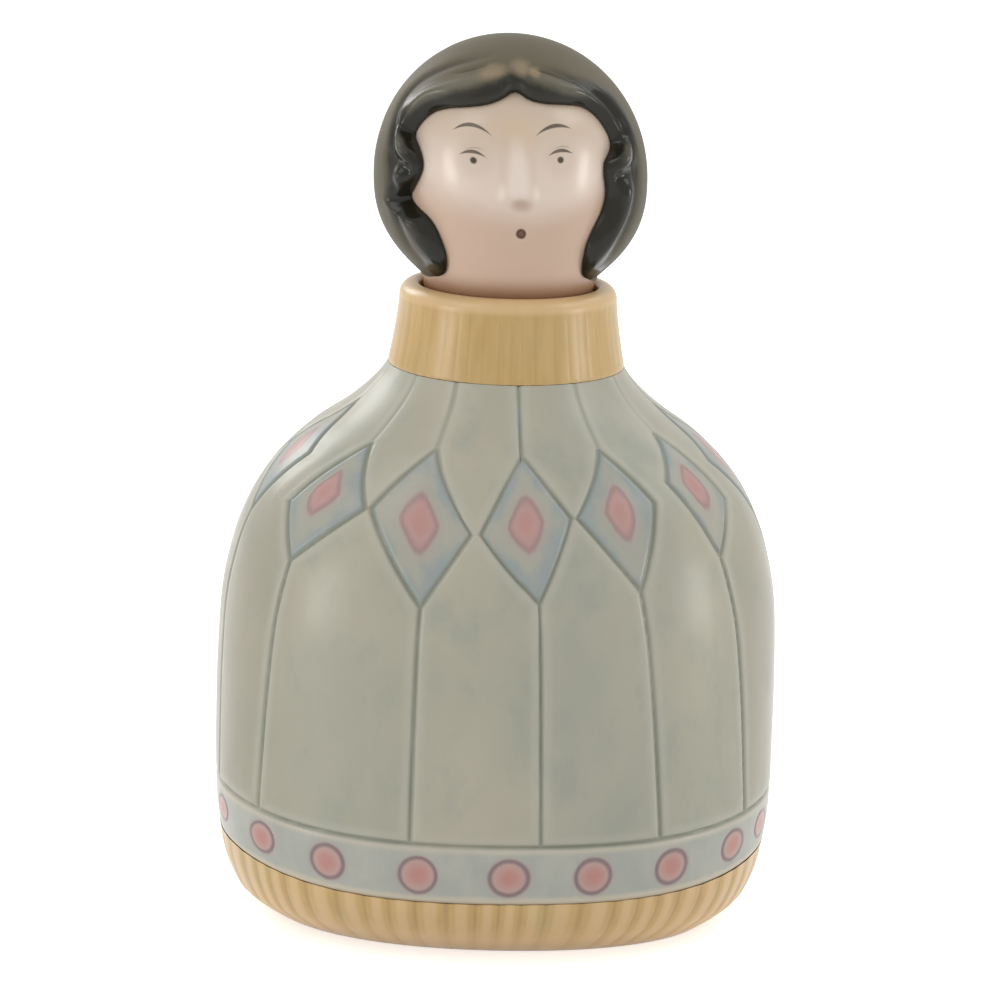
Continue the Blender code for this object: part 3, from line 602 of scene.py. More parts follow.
def body_tube(pattern, dot_radius):
    """Tube of quads, finer along the carved lines, carried on through the neck and down the inside."""
    clear_selection()
    bpy.ops.mesh.primitive_cylinder_add(
        vertices=BODY_COLUMNS, radius=1.0, depth=1.0, end_fill_type="NOTHING", location=(0.0, 0.0, 0.5),
    )
    item = bpy.context.object
    item.name = "glazed_body"
    item.data.name = "glazed_body"
    bpy.ops.object.transform_apply(location=True)
    bpy.ops.object.mode_set(mode="EDIT")
    bpy.ops.mesh.select_mode(type="EDGE")
    select_edges(item, lambda edge: abs(edge.verts[0].co.z - edge.verts[1].co.z) > 0.5)
    bpy.ops.mesh.subdivide(number_cuts=BODY_ROWS - 1)
    bpy.ops.mesh.select_mode(type="FACE")
    for reach in FINE_REACHES:
        bpy.ops.object.mode_set(mode="OBJECT")
        mark_near_lines(item, pattern, dot_radius, reach)
        bpy.ops.object.mode_set(mode="EDIT")
        bpy.ops.mesh.subdivide(number_cuts=1)
    bpy.ops.mesh.select_mode(type="EDGE")
    select_edges(item, lambda edge: edge.is_boundary and edge.verts[0].co.z > 0.5)
    for _ in range(NECK_RINGS + INNER_ROWS):
        bpy.ops.mesh.extrude_region_move(TRANSFORM_OT_translate={"value": (0.0, 0.0, 1.0)})
    select_edges(item, lambda edge: edge.is_boundary)
    bpy.ops.mesh.bridge_edge_loops()
    bpy.ops.object.mode_set(mode="OBJECT")
    return item


def mark_near_lines(item, pattern, dot_radius, reach):
    """Select the faces of the tube whose middles lie near a carved line, a dot's rim or the foot."""
    mesh = item.data
    middles = np.zeros(3 * len(mesh.polygons), np.float32)
    mesh.polygons.foreach_get("center", middles)
    middles = middles.reshape(-1, 3).astype(float)
    run = middles[:, 2] * pattern.length
    found = pattern.measure(unevened(np.arctan2(middles[:, 0], -middles[:, 1])), run)
    near = np.minimum(np.minimum(found["lines"], np.abs(found["dots"] - dot_radius)), run) < reach
    for parts in (mesh.vertices, mesh.edges):
        parts.foreach_set("select", np.zeros(len(parts), bool))
    mesh.polygons.foreach_set("select", near)


def neck_and_inside(pattern):
    """Places of the rings past the seat: up the neck, over its ledge and down the inner wall."""
    inner = body_outline()
    share = (inner[:, 0] - COLLAR_FOOT) / (BODY_HIGH.x - HEADROOM - COLLAR_FOOT)
    inner[:, 0] = NECK_BORE + share * (BODY_HIGH.x - WALL - NECK_BORE)
    neck = [(NECK_RADIUS, SEAT_Z), (NECK_RADIUS, BODY_HIGH.z), (NECK_BORE, BODY_HIGH.z)]
    return np.vstack([(pattern.radii[-1], SEAT_Z), neck, spaced(inner, INNER_ROWS)])


def body_relief(settings, found, run, turn):
    """Height of the wall's surface over its smooth form."""
    lines = found["lines"]
    lift = -settings.carve_depth * hump(lines, settings.carve_width)
    burr = lines - BURR_PLACE * settings.carve_width
    lift += settings.lip_height * hump(burr, BURR_WIDTH * settings.carve_width)
    lift -= settings.pillow * np.exp(-lines / settings.pillow_reach)
    lift = lift * found["bold"]
    lift -= settings.dot_depth * hump(found["dots"] - settings.dot_radius, RING_WIDTH * settings.carve_width)
    bead = np.clip(1.0 - run / BEAD_RADIUS, 0.0, 1.0)
    lift -= BEAD_RADIUS * (1.0 - np.sqrt(1.0 - bead ** 2))
    hand = np.sin(3.0 * turn + 0.7) * np.sin(run / HAND_WAVES[0]) + np.sin(5.0 * turn - run / HAND_WAVES[1])
    return lift + settings.hand_height * (0.5 * hand - 1.0)


def carved_body(settings):
    """The vessel's wall with its carved diamonds, seams and belt."""
    pattern = BodyPattern(settings.diamonds, settings.dots)
    item = body_tube(pattern, settings.dot_radius)
    flat = points_of(item)
    turn = unevened(np.arctan2(flat[:, 0], -flat[:, 1]))
    level = flat[:, 2]
    outer = level < 1.0 + STEP
    run = np.clip(level, 0.0, 1.0) * pattern.length
    rings = neck_and_inside(pattern)
    ring = np.clip(np.rint(level - 1.0).astype(int), 0, len(rings) - 1)
    radius = np.where(outer, np.interp(run, pattern.runs, pattern.radii), rings[ring, 0])
    height = np.where(outer, np.interp(run, pattern.runs, pattern.heights), rings[ring, 1])
    sides = (pattern.radii, pattern.heights)
    slopes = [np.interp(run, pattern.runs, -np.gradient(side, pattern.runs)) for side in sides]
    here, normal = outward(pressed, turn, radius, height, np.stack(slopes, axis=1))
    found = pattern.measure(turn, run)
    lift = np.where(outer, body_relief(settings, found, run, turn), 0.0)
    here = here + normal * lift[:, None]
    below_belt = np.clip(1.0 - (here[:, 2] - FOOT_Z) / (BELT_Z - FOOT_Z), 0.0, 1.0)
    here[:, 2] += side_lift(turn, HEM_LIFT) * below_belt
    move_points(item, here)
    for key in ("lines", "dots", "belt"):
        note(item, key, np.where(outer, found[key], FAR) / MM)
    for key in ("diamond", "lozenge", "bold"):
        note(item, key, np.minimum(found[key], NOTED_LIMIT))
    note(item, "run", run / MM)
    close_shell(item)
    return item


def rib_groove(settings, turn, ribs):
    """Share of the way down into a groove, from 0 on a crest to 1, between ribs of slightly uneven width."""
    sway = settings.rib_sway * (np.sin(7.0 * turn + 1.0) + np.sin(12.0 * turn))
    count = ribs * turn / (2.0 * math.pi) + sway
    return np.abs(2.0 * (count - np.rint(count))) ** settings.rib_power


def ribbed_hem(settings):
    """Floor, foot ring, upstand and ribbed hem."""
    top = body_outline()[-1, 0] - HEM_SET_IN
    hem_z = FOOT_Z - SEAM_GAP
    face = smooth_line([(top - (1.0 - out) * HEM_TAPER, up * hem_z) for up, out in HEM_OUTLINE_SHARES], 8)
    face = spaced(face, FACE_ROWS)
    ring = NECK_BORE + BODY_OUTLINE_SHARES[-1][1] * (BODY_HIGH.x - WALL - NECK_BORE) - GAP
    inside = ring - UPSTAND
    floor_z = FOOT_RECESS + FLOOR
    foot_inner = face[-1, 0] - FOOT_RING
    cove = arc((inside - COVE_RADIUS, floor_z + COVE_RADIUS), COVE_RADIUS, -90.0, 0.0, 8)
    upstand_top = [(inside, HEM_HIGH.z), (ring, HEM_HIGH.z)]
    inner = np.vstack([straight((0.0, floor_z), cove[0], 6), cove, upstand_top])
    line = np.vstack([
        inner, [(ring, hem_z)], face, [(foot_inner, 0.0), (foot_inner - FOOT_RECESS, FOOT_RECESS)],
        straight((foot_inner - 2.0 * FOOT_RECESS, FOOT_RECESS), (0.0, FOOT_RECESS), 5), [(0.0, FOOT_RECESS)],
    ])
    first = len(inner) + 1
    last = first + len(face) - 1

    def relief(turn, row, radius, height, here):
        """Pressed ribs on the outer face."""
        groove = rib_groove(settings, evened(turn), settings.hem_ribs)
        on_face = (row >= first) & (row <= last)
        fade = np.clip((height - 0.4 * MM) / (3.0 * MM), 0.0, 1.0)
        fade *= 0.4 + 0.6 * eased((hem_z - height) / (2.0 * MM))
        lift = np.where(on_face, -settings.rib_depth * groove * fade, 0.0)
        rise = side_lift(turn, HEM_LIFT)
        here[:, 2] += rise * np.clip((height - 0.4 * hem_z) / (0.6 * hem_z), 0.0, 1.0) * on_face
        return lift, {"groove": groove * on_face, "face": on_face * 1.0}

    return turned("ribbed_hem", line, settings.hem_ribs * HEM_COLUMNS_EACH, pinched, relief, unevened)


def pinched(turn, radius, height):
    """Places on the base, whose foot is pinched from front to back and a little skewed."""
    across, deep, level = pressed(turn, radius, height)
    low = np.maximum(1.0 - height / HEM_TOP_Z, 0.0) ** 2
    return across, deep * (1.0 - HEM_PINCH_SHARE * low) - HEM_SKEW_SHARE * low * across, level


def rounded(turn, radius, height):
    """Places on a plain round piece."""
    return radius * np.sin(turn), -radius * np.cos(turn), height


def bore_at(height):
    """Radius of the collar's bore, which opens a little towards the rim."""
    return COLLAR_BORE + COLLAR_BORE_FLARE * (height - COLLAR_LOW.z) / (RIM_Z - COLLAR_LOW.z)


def rolled_collar(settings):
    """The ribbed collar with its rolled lip."""
    rim = COLLAR_FOOT - COLLAR_FLARE
    lip = arc((rim - COLLAR_LIP, RIM_Z - COLLAR_LIP), COLLAR_LIP, 90.0, 0.0, 12)
    down = np.linspace(0.0, 1.0, FACE_ROWS)[1:]
    foot_z = SEAT_Z + SEAM_GAP
    face_rise = RIM_Z - COLLAR_LIP - foot_z
    flare = COLLAR_FLARE * down ** COLLAR_FLARE_POWER
    face = np.stack([rim + flare, RIM_Z - COLLAR_LIP - down * face_rise], axis=1)
    turn_in = np.clip((down * face_rise - face_rise + COLLAR_TUCK) / COLLAR_TUCK, 0.0, 1.0)
    face[:, 0] -= 0.7 * COLLAR_TUCK * (1.0 - np.sqrt(1.0 - turn_in ** 2))
    rebate = NECK_RADIUS + GAP
    bore, edge = bore_at(RIM_Z), COLLAR_INNER_LIP
    inner_lip = arc((bore + edge, RIM_Z - edge), edge, 180.0, 90.0, 8)
    seat = [(rebate, foot_z), (rebate, CORK_LOW.z), (bore_at(CORK_LOW.z), CORK_LOW.z)]
    wall = straight((bore_at(CORK_LOW.z), CORK_LOW.z), inner_lip[0], 6)[1:]
    line = np.vstack([lip, face, seat, wall, inner_lip, lip[:1]])
    first, last = len(lip) - 6, len(lip) + len(face) - 1

    def relief(turn, row, radius, height, here):
        """Faint ribs below the lip."""
        groove = rib_groove(settings, turn, settings.collar_ribs)
        on_face = (row >= first) & (row <= last)
        fade = eased((RIM_Z - height - 1.9 * MM) / (3.0 * MM))
        return np.where(on_face, -settings.collar_rib_depth * groove * fade, 0.0), {
            "groove": groove * fade * on_face, "face": (row <= last) * 1.0,
        }

    return turned("rolled_collar", line, settings.collar_ribs * COLLAR_COLUMNS_EACH, rounded, relief)


def plain_relief(turn, row, radius, height, here):
    """No relief at all."""
    return np.zeros(len(turn)), {}


def cork_ring():
    """The cork sleeve, its edges rounded by use and its skin pitted."""
    bore = SPIGOT_HIGH.x + GAP
    top, foot = CORK_HIGH.z, CORK_LOW.z
    high, low = bore_at(top) - GAP, bore_at(foot) - GAP
    edge = CORK_ROUNDING
    upper = arc((high - edge, top - edge), edge, 90.0, 0.0, 5)
    lower = arc((low - edge, foot + edge), edge, 0.0, -90.0, 5)
    line = np.vstack([
        upper, straight(upper[-1], lower[0], FACE_ROWS)[1:], lower, [(bore, foot)],
        straight((bore, foot), (bore, top), 5)[1:], [(bore, top)], upper[:1],
    ])
    last = len(upper) + FACE_ROWS + len(lower) - 2

    def relief(turn, row, radius, height, here):
        """Pits and wrinkles of the bark, only sunk in."""
        grain = np.sin(31.0 * turn + 4.0 * np.sin(9.0 * turn))
        grain *= np.sin(height / (0.9 * MM) + 5.0 * np.sin(6.0 * turn))
        pits = np.clip(grain - 0.55, 0.0, 1.0) / 0.45
        return np.where((row > 0) & (row < last), -CORK_PIT * pits, 0.0), {"pits": pits}

    return turned("cork_ring", line, 2 * ROUND_COLUMNS, rounded, relief)


def hollow_spigot():
    """The bare spigot under the head, its foot edge rounded."""
    radius = SPIGOT_HIGH.x
    register = SPIGOT_BORE + REGISTER_WALL
    seat_z, top_z, foot_z = CORK_HIGH.z, SPIGOT_HIGH.z, SPIGOT_LOW.z
    edge = SPIGOT_ROUNDING
    outer = arc((radius - edge, foot_z + edge), edge, 0.0, -90.0, 5)
    inner = arc((SPIGOT_BORE + edge, foot_z + edge), edge, -90.0, -180.0, 5)
    step = [(register, top_z), (register, seat_z), (radius, seat_z)]
    line = np.vstack([
        step, straight((radius, seat_z), outer[0], 10)[1:], outer, inner,
        straight(inner[-1], (SPIGOT_BORE, top_z), 10)[1:], [(SPIGOT_BORE, top_z), (register, top_z)],
    ])
    return turned("hollow_spigot", line, ROUND_COLUMNS, rounded, plain_relief)


def dome(half, widest_z, top_z, power, rings):
    """Outline of a crown, from its top down to its widest level."""
    turns = 0.5 * math.pi * np.linspace(0.0, 1.0, rings)[:-1]
    across, up = np.sin(turns) ** (2.0 / power), np.cos(turns) ** (2.0 / power)
    return np.stack([half * across, widest_z + (top_z - widest_z) * up], axis=1)


def head_outline(grow, rings):
    """The head's outline from crown to foot, moved out by a distance."""
    crown = dome(HEAD_HALF_WIDTH + grow, HEAD_WIDEST_Z, HEAD_HIGH.z + grow, HEAD_CROWN_POWER, rings)
    down = np.linspace(0.0, 1.0, rings)
    foot = bore_at(HEAD_LOW.z) - HEAD_RIM_CLEARANCE
    cheek = HEAD_HALF_WIDTH - (HEAD_HALF_WIDTH - foot) * eased(down ** HEAD_CHEEK_POWER)
    return np.vstack([crown, np.stack([cheek + grow, HEAD_WIDEST_Z - down * HEAD_CHEEK_DROP], axis=1)])


def hair_outline(rings):
    """The hair's outer outline from crown to cut ends."""
    half = HEAD_HALF_WIDTH + HAIR_THICKNESS
    crown = dome(half, HAIR_WIDEST_Z, HAIR_HIGH.z, HAIR_CROWN_POWER, rings)
    skull = head_outline(0.0, rings)
    end = np.interp(HAIR_LOW.z, skull[::-1, 1], skull[::-1, 0]) + HAIR_END_THICKNESS
    down = np.linspace(0.0, 1.0, rings)
    side = half - (half - end) * down ** HAIR_SIDE_POWER
    return np.vstack([crown, np.stack([side, HAIR_WIDEST_Z - down * HAIR_SIDE_DROP], axis=1)])


def sideways(slope, height):
    """How far something that leans has moved sideways at a height."""
    return slope * np.maximum(height - LEAN_START_Z, 0.0)


def leaning(points):
    """Points of the head moved to the side that it leans to."""
    points = points.copy()
    points[:, 0] -= sideways(HEAD_LEAN, points[:, 2])
    return points


def crowded_in_front(turn):
    """Turns that lie closer together at the face than at the back of the head."""
    return turn - HEAD_CROWD * np.sin(turn)


def lean_place(turn, radius, height):
    """Places on the leaning head."""
    return radius * np.sin(turn) - sideways(HEAD_LEAN, height), -radius * np.cos(turn), height


def slant(height):
    """How far the face's features have moved sideways on the head at a height."""
    return sideways(FACE_LEAN - HEAD_LEAN, height)


def face_relief(settings, across, height):
    """Height of nose, brow, eye hollows, cheeks, lips and chin over the egg of the head."""
    across, up = (across + slant(height)) / MM, height / MM
    bridge, tip, foot = settings.nose_bridge_z / MM, settings.nose_tip_z / MM, settings.nose_foot_z / MM
    along_nose = np.clip((bridge - up) / (bridge - tip), 0.0, 1.0)
    under = eased((up - foot) / (tip - foot))
    width = 1.9 + 1.0 * along_nose ** 1.4
    ridge = (0.25 + 0.75 * along_nose ** 1.3) * eased((bridge + 3.0 - up) / 6.0) * under
    nose = settings.nose_height / MM * ridge * hump(across, width)
    nose += 0.5 * hump(np.hypot(across, (up - tip) / 1.1), 2.0)
    nose += 0.75 * sum(hump(np.hypot(across - side * 3.3, (up - tip + 0.9) / 1.1), 1.5) for side in SIDES)
    eyes_and_cheeks = sum(
        swell * hump(np.hypot((across - side * aside) / broad, (up - high) / tall), wide)
        for swell, aside, high, broad, tall, wide in PAIRED_FORMS for side in SIDES
    )
    lip_distance = np.hypot(across - MOUTH[0], up - MOUTH[1])
    mouth = 0.32 * hump(lip_distance - 1.9, 0.8) - 0.5 * hump(lip_distance, 1.1)
    chin = 0.45 * hump(np.hypot(across / 1.3, up - 158.5), 5.0)
    return (nose + eyes_and_cheeks + mouth + chin) * MM


def stopper_head(settings):
    """The hollow head with its face and the neck that drops into the collar."""
    outer = spaced(head_outline(0.0, 90), HEAD_OUTER_ROWS)
    floor_z = HEAD_LOW.z + HEAD_FLOOR
    bore = SPIGOT_BORE + REGISTER_WALL + GAP
    inner = head_outline(-HEAD_WALL, 60)
    inner = spaced(inner[inner[:, 1] > floor_z], HEAD_INNER_ROWS)[::-1]
    step = [(bore, HEAD_LOW.z), (bore, floor_z), (outer[-1, 0] - HEAD_WALL, floor_z)]
    line = np.vstack([outer, step, inner])
    last = len(outer) - 1

    def relief(turn, row, radius, height, here):
        """The face, on the front of the outer side only."""
        front = eased(np.cos(turn) * 2.2)
        lift = face_relief(settings, radius * np.sin(turn), height) * front
        return np.where(row <= last, lift, 0.0), {}

    return turned("stopper_head", line, HEAD_COLUMNS, lean_place, relief, crowded_in_front)


def reach(line, aim, front_share):
    """Distance from the head's middle to a turned form along unit directions."""
    deep = aim[:, 1] / np.where(aim[:, 1] < 0.0, front_share, 1.0)
    level = np.hypot(aim[:, 0], deep)
    up = line[:, 1] - HAIR_MIDDLE[2]
    slopes, spans = np.arctan2(up, line[:, 0]), np.hypot(up, line[:, 0])
    return np.interp(np.arctan2(aim[:, 2], level), slopes[::-1], spans[::-1]) / np.hypot(aim[:, 2], level)


def on_form(line, places, front_share):
    """Points on the front of a turned form at places across and up on the slanting face."""
    places = np.array(places, float)
    places[:, 0] -= slant(places[:, 1])
    half = np.interp(places[:, 1], line[::-1, 1], line[::-1, 0])
    deep = -front_share * np.sqrt(np.maximum(half ** 2 - places[:, 0] ** 2, MM ** 2))
    return np.stack([places[:, 0], deep, places[:, 1]], axis=1)


def hair_border(skull):
    """Closed loop on the skull: hairline from left to right, then the cut ends round the back."""
    front = on_form(skull, smooth_line(np.array(HAIRLINE) * MM, 8), 1.0)
    ends = np.interp(HAIR_LOW.z, skull[::-1, 1], skull[::-1, 0])
    right, left = (math.atan2(front[index, 0], -front[index, 1]) for index in (-1, 0))
    turns = np.linspace(right, left + 2.0 * math.pi, 90)[1:-1]
    back = np.stack([ends * np.sin(turns), -ends * np.cos(turns), np.full(len(turns), HAIR_LOW.z)], axis=1)
    loop = np.vstack([front, back, front[:1]])
    loop = spaced(loop, HAIR_COLUMNS + 1)[:-1]
    for _ in range(3):
        loop = 0.25 * np.roll(loop, 1, axis=0) + 0.5 * loop + 0.25 * np.roll(loop, -1, axis=0)
    return loop


def from_face(points, skull):
    """Distance of points from the hairline."""
    line = spaced(on_form(skull, smooth_line(np.array(HAIRLINE) * MM, 4), 1.0), 160)
    parts = np.array_split(points, 16)
    nearest = [np.linalg.norm(part[:, None, :] - line[None], axis=2).min(axis=1) for part in parts]
    return np.concatenate(nearest)


def combed_line(form, turn, start):
    """Points of a groove that is combed from near the crown down to the cut ends."""
    run = along(form)
    share = np.linspace(0.0, 1.0, STROKE_STEPS)
    stops = start * MM + share * (run[-1] - start * MM)
    turns = math.radians(turn) + COMBED_SWAY * np.sin(5.0 * share + turn)
    radius, height = np.interp(stops, run, form[:, 0]), np.interp(stops, run, form[:, 1])
    return np.stack(rounded(turns, radius, height), axis=1)


def stroke_relief(points, form):
    """Height of the modelled strokes and combed grooves at points on the hair."""
    strokes = []
    for height, width, places in HAIR_STROKES:
        line = on_form(form, smooth_line(np.array(places) * MM, 8), HAIR_FRONT_SHARE)
        strokes.append((height, width, spaced(line, STROKE_STEPS)))
    for turn, start, height in COMBED_GROOVES:
        strokes.append((height, COMBED_WIDTH, combed_line(form, turn, start)))
    lift = np.zeros(len(points))
    for height, width, line in strokes:
        margin = STROKE_MARGIN * width * MM
        reached = np.all((points > line.min(axis=0) - margin) & (points < line.max(axis=0) + margin), axis=1)
        near = np.linalg.norm(points[reached, None, :] - line[None], axis=2)
        closest = near.argmin(axis=1)
        fade = np.sin(math.pi * np.clip(closest / (len(line) - 1), *STROKE_ENDS)) ** STROKE_FADE_POWER
        lift[reached] += height * MM * fade * hump(near.min(axis=1), width * MM)
    return lift


def waved_hair(settings):
    """The bobbed hair: a closed shell over the skull, rolled and waved round the face."""
    rows = HAIR_ROWS + HAIR_INNER_ROWS
    item = new_sheet("waved_hair", HAIR_COLUMNS, rows)
    flat = points_of(item)
    column = np.rint((flat[:, 0] + 0.5) * HAIR_COLUMNS).astype(int) % HAIR_COLUMNS
    row = np.rint((flat[:, 1] + 0.5) * rows).astype(int)
    skull, form = head_outline(GAP, 80), hair_outline(80)
    border = hair_border(skull)
    middle = np.array(HAIR_MIDDLE)
    aims = border - middle
    aims /= np.linalg.norm(aims, axis=1, keepdims=True)
    pole = np.array(Vector(HAIR_POLE).normalized())
    span = np.arccos(np.clip(aims @ pole, -1.0, 1.0))[column]
    outer = row <= HAIR_ROWS
    left = np.where(outer, (1.0 - row / HAIR_ROWS) ** HAIR_ROW_POWER, (row - HAIR_ROWS) / HAIR_INNER_ROWS)
    left = np.clip(left, 0.0, 1.0)
    swing = (1.0 - left) * span
    aim = np.sin(span - swing)[:, None] * pole + np.sin(swing)[:, None] * aims[column]
    aim = aim / np.sin(span)[:, None]
    inner_reach, outer_reach = reach(skull, aim, 1.0), reach(form, aim, HAIR_FRONT_SHARE)
    from_edge = left * span * HEAD_HALF_WIDTH
    at_front = eased((aims[column, 2] + 0.62) / 0.2) * (aims[column, 1] < 0.35)
    roundness = settings.edge_radius * (0.6 + 0.4 * at_front)
    edge = np.sqrt(1.0 - (1.0 - np.clip(from_edge / roundness, 0.0, 1.0)) ** 2)
    full = inner_reach + np.maximum(outer_reach - inner_reach, 0.0) * edge
    lift = stroke_relief(middle + aim * full[:, None], form) * eased(from_edge / (1.2 * MM))
    full = np.maximum(full + lift, inner_reach)
    points = middle + aim * np.where(outer, full, inner_reach)[:, None]
    points[:, 2] = np.minimum(points[:, 2], HAIR_HIGH.z)
    move_points(item, leaning(points))
    note(item, "from_face", from_face(points, skull) / MM)
    note(item, "stroke", lift / MM)
    close_shell(item)
    return item


class Value:
    """A shader number or colour. Sums and products of values add Math nodes."""

    def __init__(self, glaze, socket):
        self.glaze = glaze
        self.socket = socket

    def maths(self, operation, first, second=0.0):
        """One Math node."""
        return self.glaze.node("Math", {0: first, 1: second}, operation=operation)

    def __add__(self, other):
        return self.maths("ADD", self, other)

    __radd__ = __add__

    def __sub__(self, other):
        return self.maths("SUBTRACT", self, other)

    def __rsub__(self, other):
        return self.maths("SUBTRACT", other, self)

    def __mul__(self, other):
        return self.maths("MULTIPLY", self, other)

    __rmul__ = __mul__

    def __truediv__(self, other):
        return self.maths("DIVIDE", self, other)

    def __rtruediv__(self, other):
        return self.maths("DIVIDE", other, self)

    def __pow__(self, other):
        return self.maths("POWER", self, other)

    def __rpow__(self, other):
        return self.maths("POWER", other, self)

    def __abs__(self):
        return self.maths("ABSOLUTE", self)

    def at_most(self, limit):
        """The value, kept from passing a limit."""
        return self.maths("MINIMUM", self, limit)

    def at_least(self, limit):
        """The value, kept from falling under a limit."""
        return self.maths("MAXIMUM", self, limit)


class Glaze:
    """A node material in the making."""

    def __init__(self, name, holder=None):
        self.material = holder or bpy.data.materials.new(name)
        self.material.use_nodes = True
        self.tree = self.material.node_tree

    def node(self, kind, sockets, output=0, **settings):
        """Add a node with its settings, feed its sockets, and give one of its outputs."""
        made = self.tree.nodes.new("ShaderNode" + kind)
        for key, setting in settings.items():
            setattr(made, key, setting)
        for key, fed in sockets.items():
            self.feed(made.inputs[key], fed)
        return Value(self, made.outputs[output])

    def feed(self, socket, fed):
        """Link a value to a socket, or set the socket itself."""
        if isinstance(fed, Value):
            self.tree.links.new(fed.socket, socket)
        elif socket.type == "RGBA":
            socket.default_value = (*fed[:3], 1.0)
        else:
            socket.default_value = fed

    def axis(self, name):
        """One of the object coordinates, in millimetres."""
        return self.node("SeparateXYZ", {0: self.node("TexCoord", {}, "Object")}, name) / MM

    def noted(self, name):
        """A number kept on the mesh."""
        return self.node("Attribute", {}, "Fac", attribute_name=name)

    def noise(self, size, detail=3.0, roughness=0.55, stretch=(1.0, 1.0, 1.0), drift=0.0):
        """Soft noise whose patches have a size in metres."""
        place = self.node("TexCoord", {}, "Object")
        where = self.node("Mapping", {"Vector": place, "Scale": stretch, "Location": (drift, drift, drift)})
        return self.node("TexNoise", {
            "Vector": where, "Scale": 1.0 / size, "Detail": detail, "Roughness": roughness,
        })

    def ramp(self, value, low, high):
        """A value brought from 0 at low to 1 at high, gently."""
        limits = {0: value, 1: low, 2: high, 3: 0.0, 4: 1.0}
        return self.node("MapRange", limits, interpolation_type="SMOOTHSTEP")

    def mix(self, share, first, second):
        """A blend of two colours."""
        return self.node("Mix", {0: share, 6: first, 7: second}, 2, data_type="RGBA")

    def bump(self, height, strength, distance):
        """Normals for a fine relief."""
        return self.node("Bump", {"Height": height, "Strength": strength, "Distance": distance}, "Normal")

    def finish(self, colour, roughness, normal=None, **constants):
        """Feed the surface shader and hand over the material."""
        surface = self.tree.nodes["Principled BSDF"]
        self.feed(surface.inputs["Base Color"], colour)
        self.feed(surface.inputs["Roughness"], roughness)
        if normal:
            self.feed(surface.inputs["Normal"], normal)
        for key, constant in constants.items():
            self.feed(surface.inputs[key.replace("_", " ")], constant)
        return self.material


def off_middle(across, up):
    """Distance from a middle, given how far across and up from it."""
    return (across * across + up * up) ** 0.5


